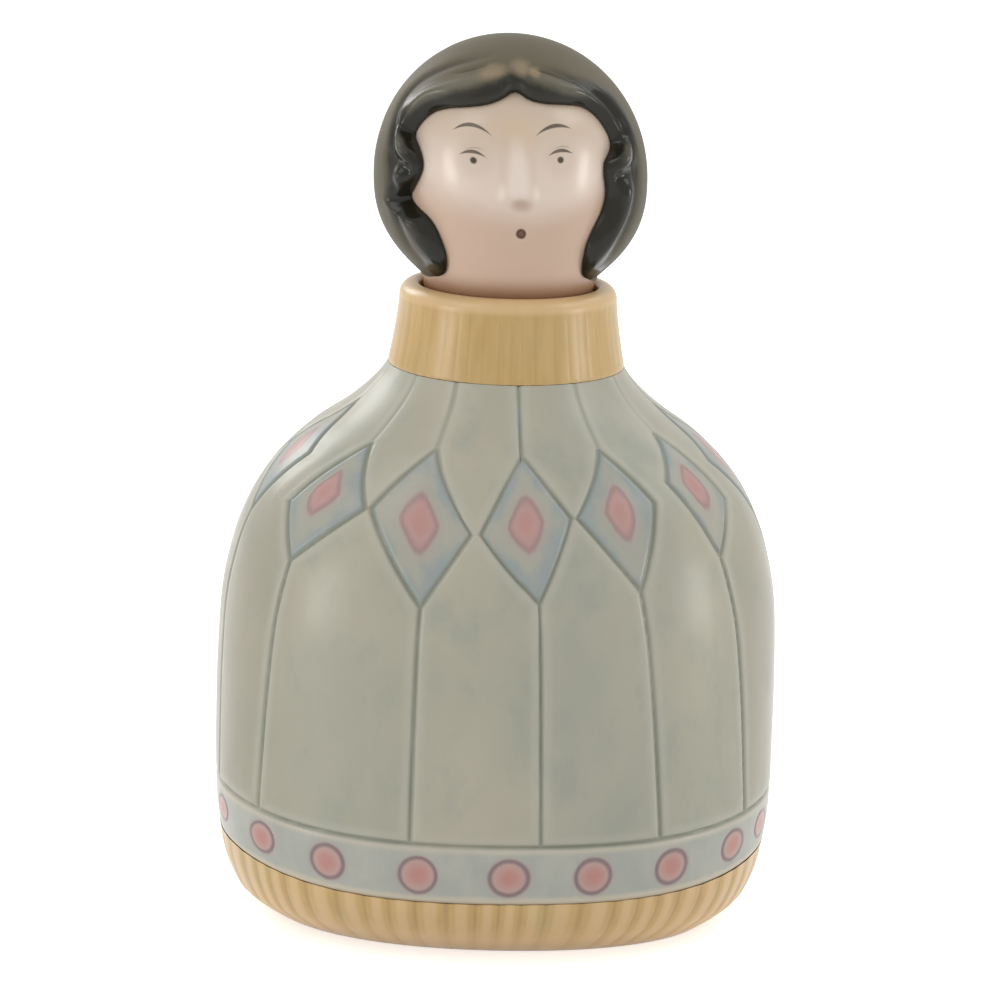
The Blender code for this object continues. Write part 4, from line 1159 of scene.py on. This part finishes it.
def body_glaze(settings):
    """Grey-green celadon that pools in the carving, with washes of blue and pink, painted shade on the narrow
    sides and pale glaze with a painted highlight under the collar.
    """
    glaze = Glaze("celadon_body")
    lines, dots, belt, run = (glaze.noted(name) for name in ("lines", "dots", "belt", "run"))
    diamond, lozenge, bold = (glaze.noted(name) for name in ("diamond", "lozenge", "bold"))
    cloud = glaze.noise(0.030, 3.0, 0.5, (1.0, 1.0, 0.7))
    wash = glaze.noise(0.011, 4.0, 0.6, (1.0, 1.0, 0.6), 0.3)
    brush = glaze.noise(0.004, 3.0, 0.6, (1.0, 1.0, 0.35), 0.7)
    wobble = (brush - 0.5) * 0.5
    wall = glaze.mix(glaze.ramp(cloud, 0.36, 0.66), settings.celadon_warm, settings.celadon)
    wall = glaze.mix(glaze.ramp(wash, 0.46, 0.70) * 0.65, wall, settings.celadon_cool)
    wall = glaze.mix(glaze.ramp(wash + 0.3 * (brush - 0.5), 0.50, 0.30) * 0.35, wall, settings.celadon_rosy)
    across = glaze.axis("X")
    heavier = glaze.ramp(abs(across - 22.0), 24.0, 8.0) * glaze.ramp(glaze.axis("Y"), 0.0, -30.0)
    wall = glaze.mix(heavier * (0.2 + 0.35 * cloud), wall, settings.celadon_cool)
    wall = glaze.mix(glaze.ramp(brush, 0.55, 0.85) * 0.22, wall, settings.celadon_warm)
    # Painted shade: the glaze turns darker and browner towards the narrow left and right sides
    wall = glaze.mix(glaze.ramp(abs(across), 44.0, 65.0) * 0.65, wall, settings.celadon_side_shade)
    # Pale glaze under the collar, partly a painted highlight
    wall = glaze.mix(glaze.ramp(run + 5.0 * (wash - 0.5), 143.0, 151.0) * 0.85, wall, settings.collar_halo_and_highlight)
    inside = glaze.ramp(diamond, 1.02, 0.93)
    wall = glaze.mix(glaze.ramp(lines + wobble, 3.4, 1.2) * (0.40 - 0.34 * inside), wall, settings.halo)
    corner = glaze.ramp(diamond, 0.50, 1.0)
    blue = glaze.ramp(wash + 0.30 * corner, 0.52, 0.86)
    wall = glaze.mix(inside * (0.20 + 0.62 * blue), wall, settings.blue_wash)
    spot = lozenge + 0.20 * (wash - 0.5) + 0.08 * (brush - 0.5)
    wall = glaze.mix(glaze.ramp(spot, 0.62, 0.40) * 0.45, wall, settings.mauve_pale)
    wall = glaze.mix(glaze.ramp(spot, 0.43, 0.34) * 0.80, wall, settings.mauve)
    wall = glaze.mix(glaze.ramp(spot, 0.375, 0.22) * 0.92, wall, settings.pink)
    wall = glaze.mix(glaze.ramp(spot + 0.25 * (cloud - 0.5), 0.26, 0.06) * 0.50, wall, settings.pink_deep)
    band = glaze.mix(glaze.ramp(wash, 0.30, 0.66), settings.band_pale, settings.band_blue)
    band = glaze.mix(glaze.ramp(run + 1.2 * (brush - 0.5), 2.4, 0.9) * 0.85, band, settings.bead)
    band = glaze.mix(glaze.ramp(run, 0.9, 0.1) * 0.7, band, settings.crease)
    band = glaze.mix(glaze.ramp(belt, -2.6, -1.0) * 0.6, band, settings.bead)
    colour = glaze.mix(glaze.ramp(belt, -0.2, 0.2), band, wall)
    rim = dots + wobble * 0.8
    colour = glaze.mix(glaze.ramp(rim, 6.2, 4.7) * 0.35, colour, settings.mauve_pale)
    colour = glaze.mix(glaze.ramp(rim, 5.05, 4.25) * 0.85, colour, settings.dot_rim)
    colour = glaze.mix(glaze.ramp(rim + 0.8 * (cloud - 0.5), 4.10, 3.20), colour, settings.pink_pale)
    colour = glaze.mix(glaze.ramp(rim + 2.0 * (wash - 0.5), 3.9, 0.8) * 0.85, colour, settings.dot_pink)
    pool = glaze.ramp(lines + 0.7 * wobble, 1.0, 0.12) * (0.50 + 0.40 * glaze.ramp(cloud, 0.3, 0.6)) * bold
    colour = glaze.mix(pool, colour, settings.pool)
    normal = glaze.bump(glaze.noise(0.0016, 2.0), 0.03, 0.0002)
    return glaze.finish(colour, 0.24 + 0.14 * wash, normal, Specular_IOR_Level=0.27)


def amber_glaze(settings, name, pooling, paleness):
    """Amber wash that runs off the ribs and pools between them, with painted light towards the foot and
    painted shade inside the rim.
    """
    glaze = Glaze(name)
    groove = glaze.noted("groove")
    streak = glaze.noise(0.0028, 2.0, 0.5, (1.0, 1.0, 0.14))
    cloud = glaze.noise(0.013, 2.0, 0.5, (1.0, 1.0, 0.6), 0.4)
    thin = (0.35 + 0.4 * paleness) + 0.5 * glaze.ramp(streak, 0.30, 0.66)
    colour = glaze.mix(thin, settings.amber_deep, settings.amber)
    colour = glaze.mix(glaze.ramp(cloud, 0.46, 0.72) * 0.35, colour, settings.amber_green)
    colour = glaze.mix(glaze.ramp(groove, 0.30, 0.0) * paleness, colour, settings.amber_pink)
    colour = glaze.mix(glaze.ramp(groove, 0.45, 1.0) * pooling, colour, settings.amber_pool)
    up, rim = glaze.axis("Z"), RIM_Z / MM
    # Painted light: the amber turns brighter and more saturated towards the foot
    colour = glaze.mix(glaze.ramp(up, 12.0, 2.0) * 0.75, colour, settings.foot_light_amber)
    colour = glaze.mix(glaze.ramp(up, rim - 3.8, rim - 2.2) * 0.6, colour, settings.amber_pink)
    # Painted shade, with a painted reflection of the cork, brown on the inside of the rim
    inside = glaze.ramp(glaze.noted("face"), 0.6, 0.4) * glaze.ramp(up, rim - 0.6, rim - 3.0)
    colour = glaze.mix(inside, colour, settings.rim_inside_shade)
    return glaze.finish(colour, 0.26 + 0.12 * cloud, Specular_IOR_Level=0.42)


def cork_bark():
    """Brown cork with dark pits and paler grain."""
    glaze = Glaze("cork_bark")
    grain = glaze.noise(0.0028, 5.0, 0.7)
    speck = glaze.noise(0.0009, 4.0, 0.7, (1.0, 1.0, 0.5), 0.2)
    colour = glaze.mix(glaze.ramp(grain, 0.35, 0.70), BARK_DARK, BARK_PALE)
    colour = glaze.mix(glaze.ramp(speck, 0.58, 0.72) * 0.8, colour, BARK_SPECK)
    colour = glaze.mix(glaze.noted("pits") * 0.8, colour, BARK_PIT)
    normal = glaze.bump(grain + 0.6 * speck, 0.35, 0.0004)
    return glaze.finish(colour, 0.82 - 0.15 * grain, normal)


def bare_clay():
    """Unglazed stoneware, buff with fine iron specks."""
    glaze = Glaze("bare_clay")
    cloud = glaze.noise(0.008, 3.0)
    speck = glaze.noise(0.0007, 2.0, 0.6)
    colour = glaze.mix(glaze.ramp(cloud, 0.35, 0.70), CLAY_DARK, CLAY_PALE)
    colour = glaze.mix(glaze.ramp(speck, 0.70, 0.78) * 0.7, colour, CLAY_SPECK)
    normal = glaze.bump(glaze.noise(0.0005, 3.0, 0.7), 0.25, 0.0002)
    return glaze.finish(colour, 0.70 + 0.2 * cloud, normal)


def painted_arch(glaze, across, up, middle, half, drop, width, tilt=0.0):
    """Mask of a brush line that arches over a middle, thins out at both ends and may tilt."""
    share = (across - middle[0]) / half
    away = abs(up - middle[1] + drop * share * share - tilt * share)
    return glaze.ramp(width * (1.0 - share * share) - away, -0.05, 0.20)


def face_glaze(settings):
    """Cream glaze with a blush that is partly painted shade, painted highlights and shade on the nose,
    painted shade round the eyes, painted shade and cork reflection at the neck, and the brushed brows, lids,
    eyes and mouth.
    """
    glaze = Glaze("painted_face")
    up = glaze.axis("Z")
    across = glaze.axis("X") + FACE_LEAN * (up - LEAN_START_Z / MM).at_least(0.0)
    front = glaze.ramp(glaze.axis("Y"), -4.0, -8.0)
    cloud = glaze.noise(0.012, 3.0)
    fine = glaze.noise(0.003, 3.0, 0.6)
    skin = glaze.mix(glaze.ramp(up + 6.0 * (cloud - 0.5), 178.0, 192.0), settings.skin_pale, settings.skin)
    # Pink blush on the lower face, partly painted shade where the face turns down under the cheeks
    cheek = glaze.ramp(up + 5.0 * (cloud - 0.5) - 0.012 * across * across, 175.0, 166.0)
    skin = glaze.mix(cheek * 0.9, skin, settings.blush_and_shade)
    brow = glaze.ramp(abs(across), 7.0, 1.0) * glaze.ramp(abs(up - 189.0), 6.0, 1.0)
    skin = glaze.mix(brow * 0.5, skin, settings.skin_warm)
    # Painted highlight on the ridge and the wings of the nose
    ridge = glaze.ramp(abs(across), 2.7, 0.4) * glaze.ramp(up, 173.6, 176.6) * glaze.ramp(up, 190.5, 183.0)
    nose_wing_highlight = glaze.ramp(abs(abs(across) - 3.9), 1.2, 0.2) * glaze.ramp(abs(up - 176.0), 3.0, 0.8)
    skin = glaze.mix((ridge * 0.6 + nose_wing_highlight * 0.40) * front, skin, settings.nose_highlight)
    # Painted shade along both sides of the nose
    nose_flank_shade = glaze.ramp(abs(abs(across) - 3.4), 1.6, 0.2) * glaze.ramp(abs(up - 180.5), 5.0, 2.0)
    skin = glaze.mix(nose_flank_shade * front * 0.12, skin, settings.skin_shade)
    under = off_middle(0.62 * (across - 0.5), up - 173.0)
    skin = glaze.mix(glaze.ramp(under, 2.3, 0.4) * front * 0.6, skin, settings.nose_shade)
    # Painted shade, with a painted reflection of the cork, dark brown at the foot of the neck where it sinks
    # into the collar
    skin = glaze.mix(glaze.ramp(up, 156.5, 150.4) * 0.85, skin, settings.neck)
    ink = 0.0
    for side in SIDES:
        drop = 0.25 - 0.25 * side
        dot = off_middle(across - side * 9.9, up - 183.3 + drop)
        lid = painted_arch(glaze, across, up, (side * 10.0, 185.4 - 1.3 * drop), 3.2, 1.2, 0.48, side * 0.15)
        fold = painted_arch(glaze, across, up, (side * 10.0 + 0.5, 186.3 - 1.3 * drop), 2.7, 0.9, 0.22)
        middle, fall, tilt = (side * 9.2 - 0.6, 190.7 + 0.1 * side), 1.9 - 0.25 * side, 0.50 * side + 0.2
        arch = painted_arch(glaze, across, up, middle, 4.6, fall, 0.50, tilt)
        ink = ink + glaze.ramp(dot, 0.98, 0.50) + lid * 0.85 + fold * 0.35 + arch * 0.9
        skin = glaze.mix(glaze.ramp(dot, 5.5, 2.0) * 0.16, skin, settings.skin_shade)
    ink = (ink * front).at_most(1.0)
    skin = glaze.mix(ink * (0.85 + 0.25 * fine), skin, settings.ink)
    lips = off_middle(across - MOUTH[0], up - MOUTH[1]) + 0.5 * (fine - 0.5)
    skin = glaze.mix(glaze.ramp(lips, 1.40, 0.95) * front, skin, settings.lip_rim)
    skin = glaze.mix(glaze.ramp(lips, 0.75, 0.25) * front * 0.6, skin, settings.lip)
    normal = glaze.bump(glaze.noise(0.0018, 2.0), 0.04, 0.0002)
    return glaze.finish(skin, 0.19 + 0.08 * cloud, normal, Specular_IOR_Level=0.36)


def hair_glaze(settings):
    """Dark olive glaze, nearly black where it pools, with painted highlights on the ridges round the face,
    thin brown glaze and a painted highlight beside the parting, and a painted sheen towards the crown.
    """
    glaze = Glaze("olive_hair")
    hairline, stroke = glaze.noted("from_face"), glaze.noted("stroke")
    cloud = glaze.noise(0.010, 3.0, 0.5)
    fine = glaze.noise(0.0025, 4.0, 0.6)
    up, across = glaze.axis("Z"), glaze.axis("X") + 2.2
    # Painted sheen: the olive turns lighter towards the crown
    cap = glaze.mix(glaze.ramp(up + 8.0 * (cloud - 0.5), 165.0, 206.0), settings.olive, settings.olive_crown_sheen)
    comb = glaze.noise(0.0024, 3.0, 0.6, (1.0, 1.0, 0.16), 0.5)
    beside = 1.8 * glaze.ramp(across, 12.0, 20.0) + 0.9 * glaze.ramp(across, -12.0, -20.0)
    behind = glaze.ramp(glaze.axis("Y"), -3.0, 17.0)
    roll = glaze.ramp(hairline + 3.0 * (cloud - 0.5) - beside, 7.0, 3.2)
    cap = glaze.mix(behind * glaze.ramp(comb, 0.56, 0.26) * 0.30, cap, settings.black)
    cap = glaze.mix(behind * glaze.ramp(comb, 0.50, 0.80) * 0.14, cap, settings.brown_break_and_highlight)
    colour = glaze.mix(roll * 0.92, cap, settings.black)
    colour = glaze.mix(glaze.ramp(stroke, -0.1, -0.9) * 0.85, colour, settings.black)
    # Painted highlight on the raised strands round the face
    ridge_highlight = glaze.ramp(stroke + 0.45 * (fine - 0.5), 0.22, 1.05)
    colour = glaze.mix(ridge_highlight * 0.68, colour, settings.ridge)
    # Thin brown glaze and a painted highlight either side of the parting
    lobes = 0.0
    for aside, high, squeeze, size in PARTING_LOBES:
        bowed = up - high + 0.035 * across * across * (1.0 - squeeze)
        lobe = off_middle(squeeze * (across - aside), bowed)
        lobes = lobes + glaze.ramp(lobe + 1.1 * (fine - 0.5), size, 0.2 * size)
    lobes = (lobes * glaze.ramp(glaze.axis("Y"), -8.0, -12.0) * 0.75).at_most(0.85)
    colour = glaze.mix(lobes, colour, settings.brown_break_and_highlight)
    normal = glaze.bump(glaze.noise(0.0018, 2.0), 0.05, 0.0002)
    roughness = 0.54 + 0.08 * cloud - 0.42 * roll - 0.20 * behind * (1.0 - roll)
    return glaze.finish(colour, roughness, normal, Specular_IOR_Level=0.27)


def seen_or_plain(glaze, plain, seen):
    """Strength that is one number to the camera and in reflections, and another for light on the bottle."""
    camera_ray, glossy_ray, through_ray = (
        glaze.node("LightPath", {}, f"Is {kind} Ray") for kind in ("Camera", "Glossy", "Transmission")
    )
    return plain + (seen - plain) * (camera_ray + glossy_ray + through_ray).at_most(1.0)


def lengthy(name, default, description):
    """A length that a user may change."""
    return FloatProperty(
        name=name, description=description, default=default, precision=5, unit="LENGTH", subtype="DISTANCE",
    )


def paint(name, default, description):
    """A colour that a user may change."""
    return FloatVectorProperty(
        name=name, description=description, default=default, size=3, min=0.0, max=1.0, subtype="COLOR",
    )


class BodySettings(bpy.types.PropertyGroup):
    """Carving and colours of the vessel's wall."""

    diamonds: IntProperty(name="Diamonds", description="Diamonds round the shoulder", default=14, min=6)
    dots: IntProperty(name="Dots", description="Dots round the belt", default=19, min=10)
    carve_depth: lengthy("Carving depth", 0.00042, "Depth of the carved lines")
    carve_width: lengthy("Carving width", 0.00048, "Half-width of the carved lines")
    lip_height: lengthy("Burr height", 0.00016, "Height of the soft burr beside a carved line")
    pillow: lengthy("Panel pillow", 0.00045, "How far the panels sink towards their seams")
    pillow_reach: lengthy("Pillow reach", 0.0032, "How far from a seam a panel starts to sink")
    dot_radius: lengthy("Dot radius", 0.00430, "Radius of the ring round a dot")
    dot_depth: lengthy("Dot ring depth", 0.00016, "Depth of the ring round a dot")
    hand_height: lengthy("Hand marks", 0.00012, "Height of the slow waves left by pressing")
    celadon: paint("Celadon", (0.385, 0.378, 0.300), "Glaze of the body")
    celadon_warm: paint("Warm celadon", (0.440, 0.415, 0.325), "Thin glaze of the body")
    celadon_cool: paint("Cool celadon", (0.330, 0.345, 0.292), "Thick glaze of the body")
    celadon_rosy: paint("Rosy celadon", (0.425, 0.385, 0.320), "Glaze with a breath of pink")
    # Painted shade on the narrow sides of the body
    celadon_side_shade: paint("Brown celadon", (0.290, 0.267, 0.203), "Glaze on the narrow sides")
    halo: paint("Halo", (0.480, 0.468, 0.395), "Pale glaze beside the carved lines")
    # Pale glaze under the collar, partly a painted highlight
    collar_halo_and_highlight: paint("Cool halo", (0.510, 0.530, 0.485), "Pale glaze under the collar")
    pool: paint("Pool", (0.225, 0.243, 0.190), "Glaze in the carved lines")
    crease: paint("Crease", (0.430, 0.340, 0.225), "Brown line between belt and hem")
    blue_wash: paint("Blue wash", (0.280, 0.322, 0.335), "Wash inside the diamonds")
    pink: paint("Pink", (0.485, 0.300, 0.275), "Lozenges")
    pink_deep: paint("Deep pink", (0.460, 0.235, 0.200), "Middle of the lozenges")
    mauve: paint("Mauve", (0.335, 0.200, 0.200), "Edge of the lozenges")
    mauve_pale: paint("Pale mauve", (0.420, 0.345, 0.320), "Pink that ran into the glaze")
    band_blue: paint("Band blue", (0.376, 0.386, 0.348), "Wash of the belt")
    band_pale: paint("Band pale", (0.440, 0.440, 0.385), "Thin wash of the belt")
    bead: paint("Bead", (0.560, 0.505, 0.400), "Pale edges of the belt")
    dot_rim: paint("Dot rim", (0.215, 0.140, 0.150), "Ring round the dots")
    dot_pink: paint("Dot pink", (0.480, 0.225, 0.195), "Middle of the dots")
    pink_pale: paint("Pale pink", (0.480, 0.330, 0.300), "Dots towards their rings")


class TrimSettings(bpy.types.PropertyGroup):
    """Ribs and colours of hem and collar."""

    hem_ribs: IntProperty(name="Hem ribs", description="Ribs round the hem", default=58, min=12)
    collar_ribs: IntProperty(name="Collar ribs", description="Ribs round the collar", default=50, min=12)
    rib_depth: lengthy("Hem rib depth", 0.00028, "Depth of the hem's grooves")
    collar_rib_depth: lengthy("Collar rib depth", 0.00011, "Depth of the collar's grooves")
    rib_power: FloatProperty(name="Rib fullness", description="Higher is a fuller rib", default=2.2, min=1.0)
    rib_sway: FloatProperty(name="Rib sway", description="Unevenness, in ribs", default=0.16, min=0.0)
    amber: paint("Amber", (0.565, 0.378, 0.155), "Glaze on the ribs")
    amber_deep: paint("Deep amber", (0.470, 0.300, 0.110), "Thicker glaze in streaks")
    amber_green: paint("Olive amber", (0.500, 0.400, 0.190), "Greenish patches")
    amber_pink: paint("Pink amber", (0.710, 0.500, 0.275), "Thin glaze on the crests")
    # Painted light towards the foot of the hem
    foot_light_amber: paint("Foot amber", (0.690, 0.430, 0.125), "Glaze that ran down to the foot")
    amber_pool: paint("Amber pool", (0.360, 0.225, 0.080), "Glaze between the ribs")
    # Painted shade and a painted reflection of the cork inside the rim
    rim_inside_shade: paint("Inside", (0.250, 0.125, 0.050), "Brown stain inside the rim")


class HeadSettings(bpy.types.PropertyGroup):
    """Features and colours of the head."""

    nose_height: lengthy("Nose height", 0.0030, "How far the nose stands out")
    nose_bridge_z: lengthy("Nose bridge", 0.1885, "Level at which the nose starts")
    nose_tip_z: lengthy("Nose tip", 0.1762, "Level of the nose's tip")
    nose_foot_z: lengthy("Nose foot", 0.1724, "Level at which the nose ends")
    skin: paint("Skin", (0.620, 0.495, 0.385), "Brow")
    skin_pale: paint("Pale skin", (0.740, 0.615, 0.520), "Middle of the face")
    skin_warm: paint("Warm skin", (0.640, 0.470, 0.320), "Between the brows")
    skin_shade: paint("Shaded skin", (0.450, 0.340, 0.250), "Round the eyes")
    # Painted highlight on the ridge of the nose
    nose_highlight: paint("Light skin", (0.840, 0.735, 0.660), "Ridge of the nose")
    nose_shade: paint("Nose shade", (0.430, 0.270, 0.195), "Under the nose")
    # Pink blush on the lower face, partly painted shade
    blush_and_shade: paint("Blush", (0.590, 0.415, 0.310), "Lower face")
    # Painted shade and a painted reflection of the cork at the foot of the neck
    neck: paint("Neck", (0.300, 0.150, 0.070), "Glaze that pools where the head meets the cork")
    ink: paint("Ink", (0.055, 0.038, 0.022), "Brows, lids and eyes")
    lip_rim: paint("Lip rim", (0.090, 0.035, 0.018), "Edge of the mouth")
    lip: paint("Lip", (0.230, 0.095, 0.055), "Middle of the mouth")


class HairSettings(bpy.types.PropertyGroup):
    """Edge and colours of the hair."""

    edge_radius: lengthy("Edge radius", 0.0036, "Rounding of the hair where it meets the face")
    olive: paint("Olive", (0.094, 0.082, 0.053), "Glaze on the cap")
    # Painted sheen towards the crown
    olive_crown_sheen: paint("Thin olive", (0.135, 0.116, 0.077), "Glaze on the crown and ridges")
    black: paint("Black", (0.010, 0.010, 0.006), "Glaze where it pools")
    # Painted highlight on the strands round the face
    ridge: paint("Ridge", (0.172, 0.161, 0.117), "Thin glaze on the strands round the face")
    # Thin brown glaze for the back's streaks and beside the parting, where it is partly a painted highlight
    brown_break_and_highlight: paint("Brown break", (0.310, 0.235, 0.145), "Thin glaze either side of the parting")


class StageSettings(bpy.types.PropertyGroup):
    """Camera, light and floor."""

    aim: FloatVectorProperty(
        name="Aim", description="Point the camera looks at", default=(-0.0004, 0.0, 0.0989), subtype="XYZ",
    )
    eye: FloatVectorProperty(
        name="Eye", description="Place of the camera", default=(-0.12543, -1.19343, 0.36688), subtype="XYZ",
    )
    roll: FloatProperty(
        name="Roll", description="Tilt of the camera", default=math.radians(1.8), subtype="ANGLE",
    )
    lens: FloatProperty(name="Lens", description="Focal length in millimetres, 36 mm sensor", default=188.84)
    key_power: FloatProperty(name="Key", description="Watts of each side lamp", default=2.4, unit="POWER")
    top_power: FloatProperty(name="Top", description="Watts of the upper lamps", default=2.2, unit="POWER")
    sky: FloatProperty(name="Sky", description="Strength of the surrounding light", default=0.62)
    floor: paint("Floor", (0.86, 0.86, 0.85), "Plain pale floor")


def stage_floor(settings):
    """Wide pale floor under the bottle."""
    clear_selection()
    bpy.ops.mesh.primitive_plane_add(size=STAGE_WIDTH, location=(0.0, 0.0, -STAGE_DROP))
    item = bpy.context.object
    item.name = "floor"
    bpy.ops.object.mode_set(mode="EDIT")
    bpy.ops.mesh.subdivide(number_cuts=4)
    bpy.ops.object.mode_set(mode="OBJECT")
    glaze = Glaze("floor")
    glow = seen_or_plain(glaze, 0.0, STAGE_GLOW)
    material = glaze.finish(settings.floor, STAGE_ROUGHNESS, Emission_Color=WHITE, Emission_Strength=glow)
    item.data.materials.append(material)


def sky(settings):
    """Even white surroundings."""
    world = bpy.context.scene.world or bpy.data.worlds.new("surroundings")
    bpy.context.scene.world = world
    glaze = Glaze("surroundings", world)
    background = glaze.tree.nodes["Background"]
    glaze.feed(background.inputs["Color"], WHITE)
    glaze.feed(background.inputs["Strength"], seen_or_plain(glaze, settings.sky, 1.0))


def lamp(name, place, size, power):
    """Rectangular soft box aimed at the middle of the bottle."""
    light = bpy.data.lights.new(name, "AREA")
    light.shape = "RECTANGLE"
    light.size, light.size_y = size
    light.energy = power
    item = bpy.data.objects.new(name, light)
    bpy.context.scene.collection.objects.link(item)
    item.location = place
    item.rotation_mode = "QUATERNION"
    item.rotation_quaternion = (Vector(place) - Vector(LAMP_AIM)).to_track_quat("Z", "Y")


def camera(settings):
    """Camera at the photograph's place, rolled as it was."""
    data = bpy.data.cameras.new("camera")
    data.sensor_width = SENSOR_WIDTH
    data.lens = settings.lens
    data.clip_start, data.clip_end = CLIP
    item = bpy.data.objects.new("camera", data)
    bpy.context.scene.collection.objects.link(item)
    look = Vector(settings.eye) - Vector(settings.aim)
    turn = look.to_track_quat("Z", "Y").to_matrix().to_4x4() @ Matrix.Rotation(settings.roll, 4, "Z")
    item.matrix_world = Matrix.Translation(settings.eye) @ turn
    bpy.context.scene.camera = item


class BOTTLE_OT_body(bpy.types.Operator):
    """Model and glaze the carved wall of the vessel"""

    bl_idname = "bottle.body"
    bl_label = "Glazed body"
    bl_options = {"REGISTER", "UNDO"}

    def execute(self, context):
        """Make the wall and put its glaze on."""
        settings = context.scene.bottle_body
        settle(carved_body(settings), body_glaze(settings), "bottle", "celadon_glaze", "body_shell")
        return {"FINISHED"}


class BOTTLE_OT_hem(bpy.types.Operator):
    """Model and glaze the ribbed hem with its foot and floor"""

    bl_idname = "bottle.hem"
    bl_label = "Ribbed hem"
    bl_options = {"REGISTER", "UNDO"}

    def execute(self, context):
        """Make the base and put its glaze on."""
        settings = context.scene.bottle_trim
        glaze = amber_glaze(settings, "amber_hem", pooling=0.48, paleness=0.6)
        settle(ribbed_hem(settings), glaze, "bottle", "amber_glaze", "base_hem")
        return {"FINISHED"}


class BOTTLE_OT_collar(bpy.types.Operator):
    """Model and glaze the rolled collar"""

    bl_idname = "bottle.collar"
    bl_label = "Rolled collar"
    bl_options = {"REGISTER", "UNDO"}

    def execute(self, context):
        """Make the collar and put its glaze on."""
        settings = context.scene.bottle_trim
        glaze = amber_glaze(settings, "amber_collar", pooling=0.20, paleness=0.0)
        settle(rolled_collar(settings), glaze, "bottle", "amber_glaze", "ribbed_collar")
        return {"FINISHED"}


class BOTTLE_OT_cork(bpy.types.Operator):
    """Model the cork and the bare spigot that it is fitted on"""

    bl_idname = "bottle.cork"
    bl_label = "Cork and spigot"
    bl_options = {"REGISTER", "UNDO"}

    def execute(self, context):
        """Make both round pieces."""
        settle(cork_ring(), cork_bark(), "cork", "cork", "cork_sleeve")
        settle(hollow_spigot(), bare_clay(), "head", "bare_stoneware", "stopper_spigot")
        return {"FINISHED"}


class BOTTLE_OT_head(bpy.types.Operator):
    """Model and paint the hollow head of the stopper"""

    bl_idname = "bottle.head"
    bl_label = "Painted head"
    bl_options = {"REGISTER", "UNDO"}

    def execute(self, context):
        """Make the head and paint its face."""
        settings = context.scene.bottle_head
        settle(stopper_head(settings), face_glaze(settings), "head", "blush_glaze", "head_shell")
        return {"FINISHED"}


class BOTTLE_OT_hair(bpy.types.Operator):
    """Model and glaze the waved hair"""

    bl_idname = "bottle.hair"
    bl_label = "Waved hair"
    bl_options = {"REGISTER", "UNDO"}

    def execute(self, context):
        """Make the hair and put its glaze on."""
        settings = context.scene.bottle_hair
        settle(waved_hair(settings), hair_glaze(settings), "head", "dark_olive_glaze", "hair_cap")
        return {"FINISHED"}


class BOTTLE_OT_stage(bpy.types.Operator):
    """Set up floor, surroundings, lamps and camera"""

    bl_idname = "bottle.stage"
    bl_label = "Stage"
    bl_options = {"REGISTER", "UNDO"}

    def execute(self, context):
        """Make what stands round the bottle."""
        settings = context.scene.bottle_stage
        context.scene.view_settings.view_transform = "Standard"
        stage_floor(settings)
        sky(settings)
        for power, lamps in ((settings.key_power, SIDE_LAMPS), (settings.top_power, UPPER_LAMPS)):
            for name, place, size, share in lamps:
                lamp(name, place, size, share * power)
        camera(settings)
        return {"FINISHED"}


class BOTTLE_PT_sidebar(bpy.types.Panel):
    """Panel in the sidebar that lists the pieces"""

    bl_idname = "BOTTLE_PT_sidebar"
    bl_label = "Figural bottle"
    bl_space_type = "VIEW_3D"
    bl_region_type = "UI"
    bl_category = "Bottle"

    def draw(self, context):
        """One button for each operator."""
        for operator in OPERATORS:
            self.layout.operator(operator.bl_idname)


GROUPS = {
    "bottle_body": BodySettings,
    "bottle_trim": TrimSettings,
    "bottle_head": HeadSettings,
    "bottle_hair": HairSettings,
    "bottle_stage": StageSettings,
}
OPERATORS = (
    BOTTLE_OT_body, BOTTLE_OT_hem, BOTTLE_OT_collar, BOTTLE_OT_cork, BOTTLE_OT_head, BOTTLE_OT_hair,
    BOTTLE_OT_stage,
)
CLASSES = (*GROUPS.values(), *OPERATORS, BOTTLE_PT_sidebar)


def register():
    """Register the classes and hang the settings on the scene."""
    for each in CLASSES:
        bpy.utils.register_class(each)
    for key, group in GROUPS.items():
        setattr(bpy.types.Scene, key, PointerProperty(type=group))


def unregister():
    """Take everything back."""
    for key in GROUPS:
        delattr(bpy.types.Scene, key)
    for each in reversed(CLASSES):
        bpy.utils.unregister_class(each)


def main():
    """Build every piece and the stage."""
    register()
    bpy.ops.bottle.body()
    bpy.ops.bottle.hem()
    bpy.ops.bottle.collar()
    bpy.ops.bottle.cork()
    bpy.ops.bottle.head()
    bpy.ops.bottle.hair()
    bpy.ops.bottle.stage()


if __name__ == "__main__":
    main()
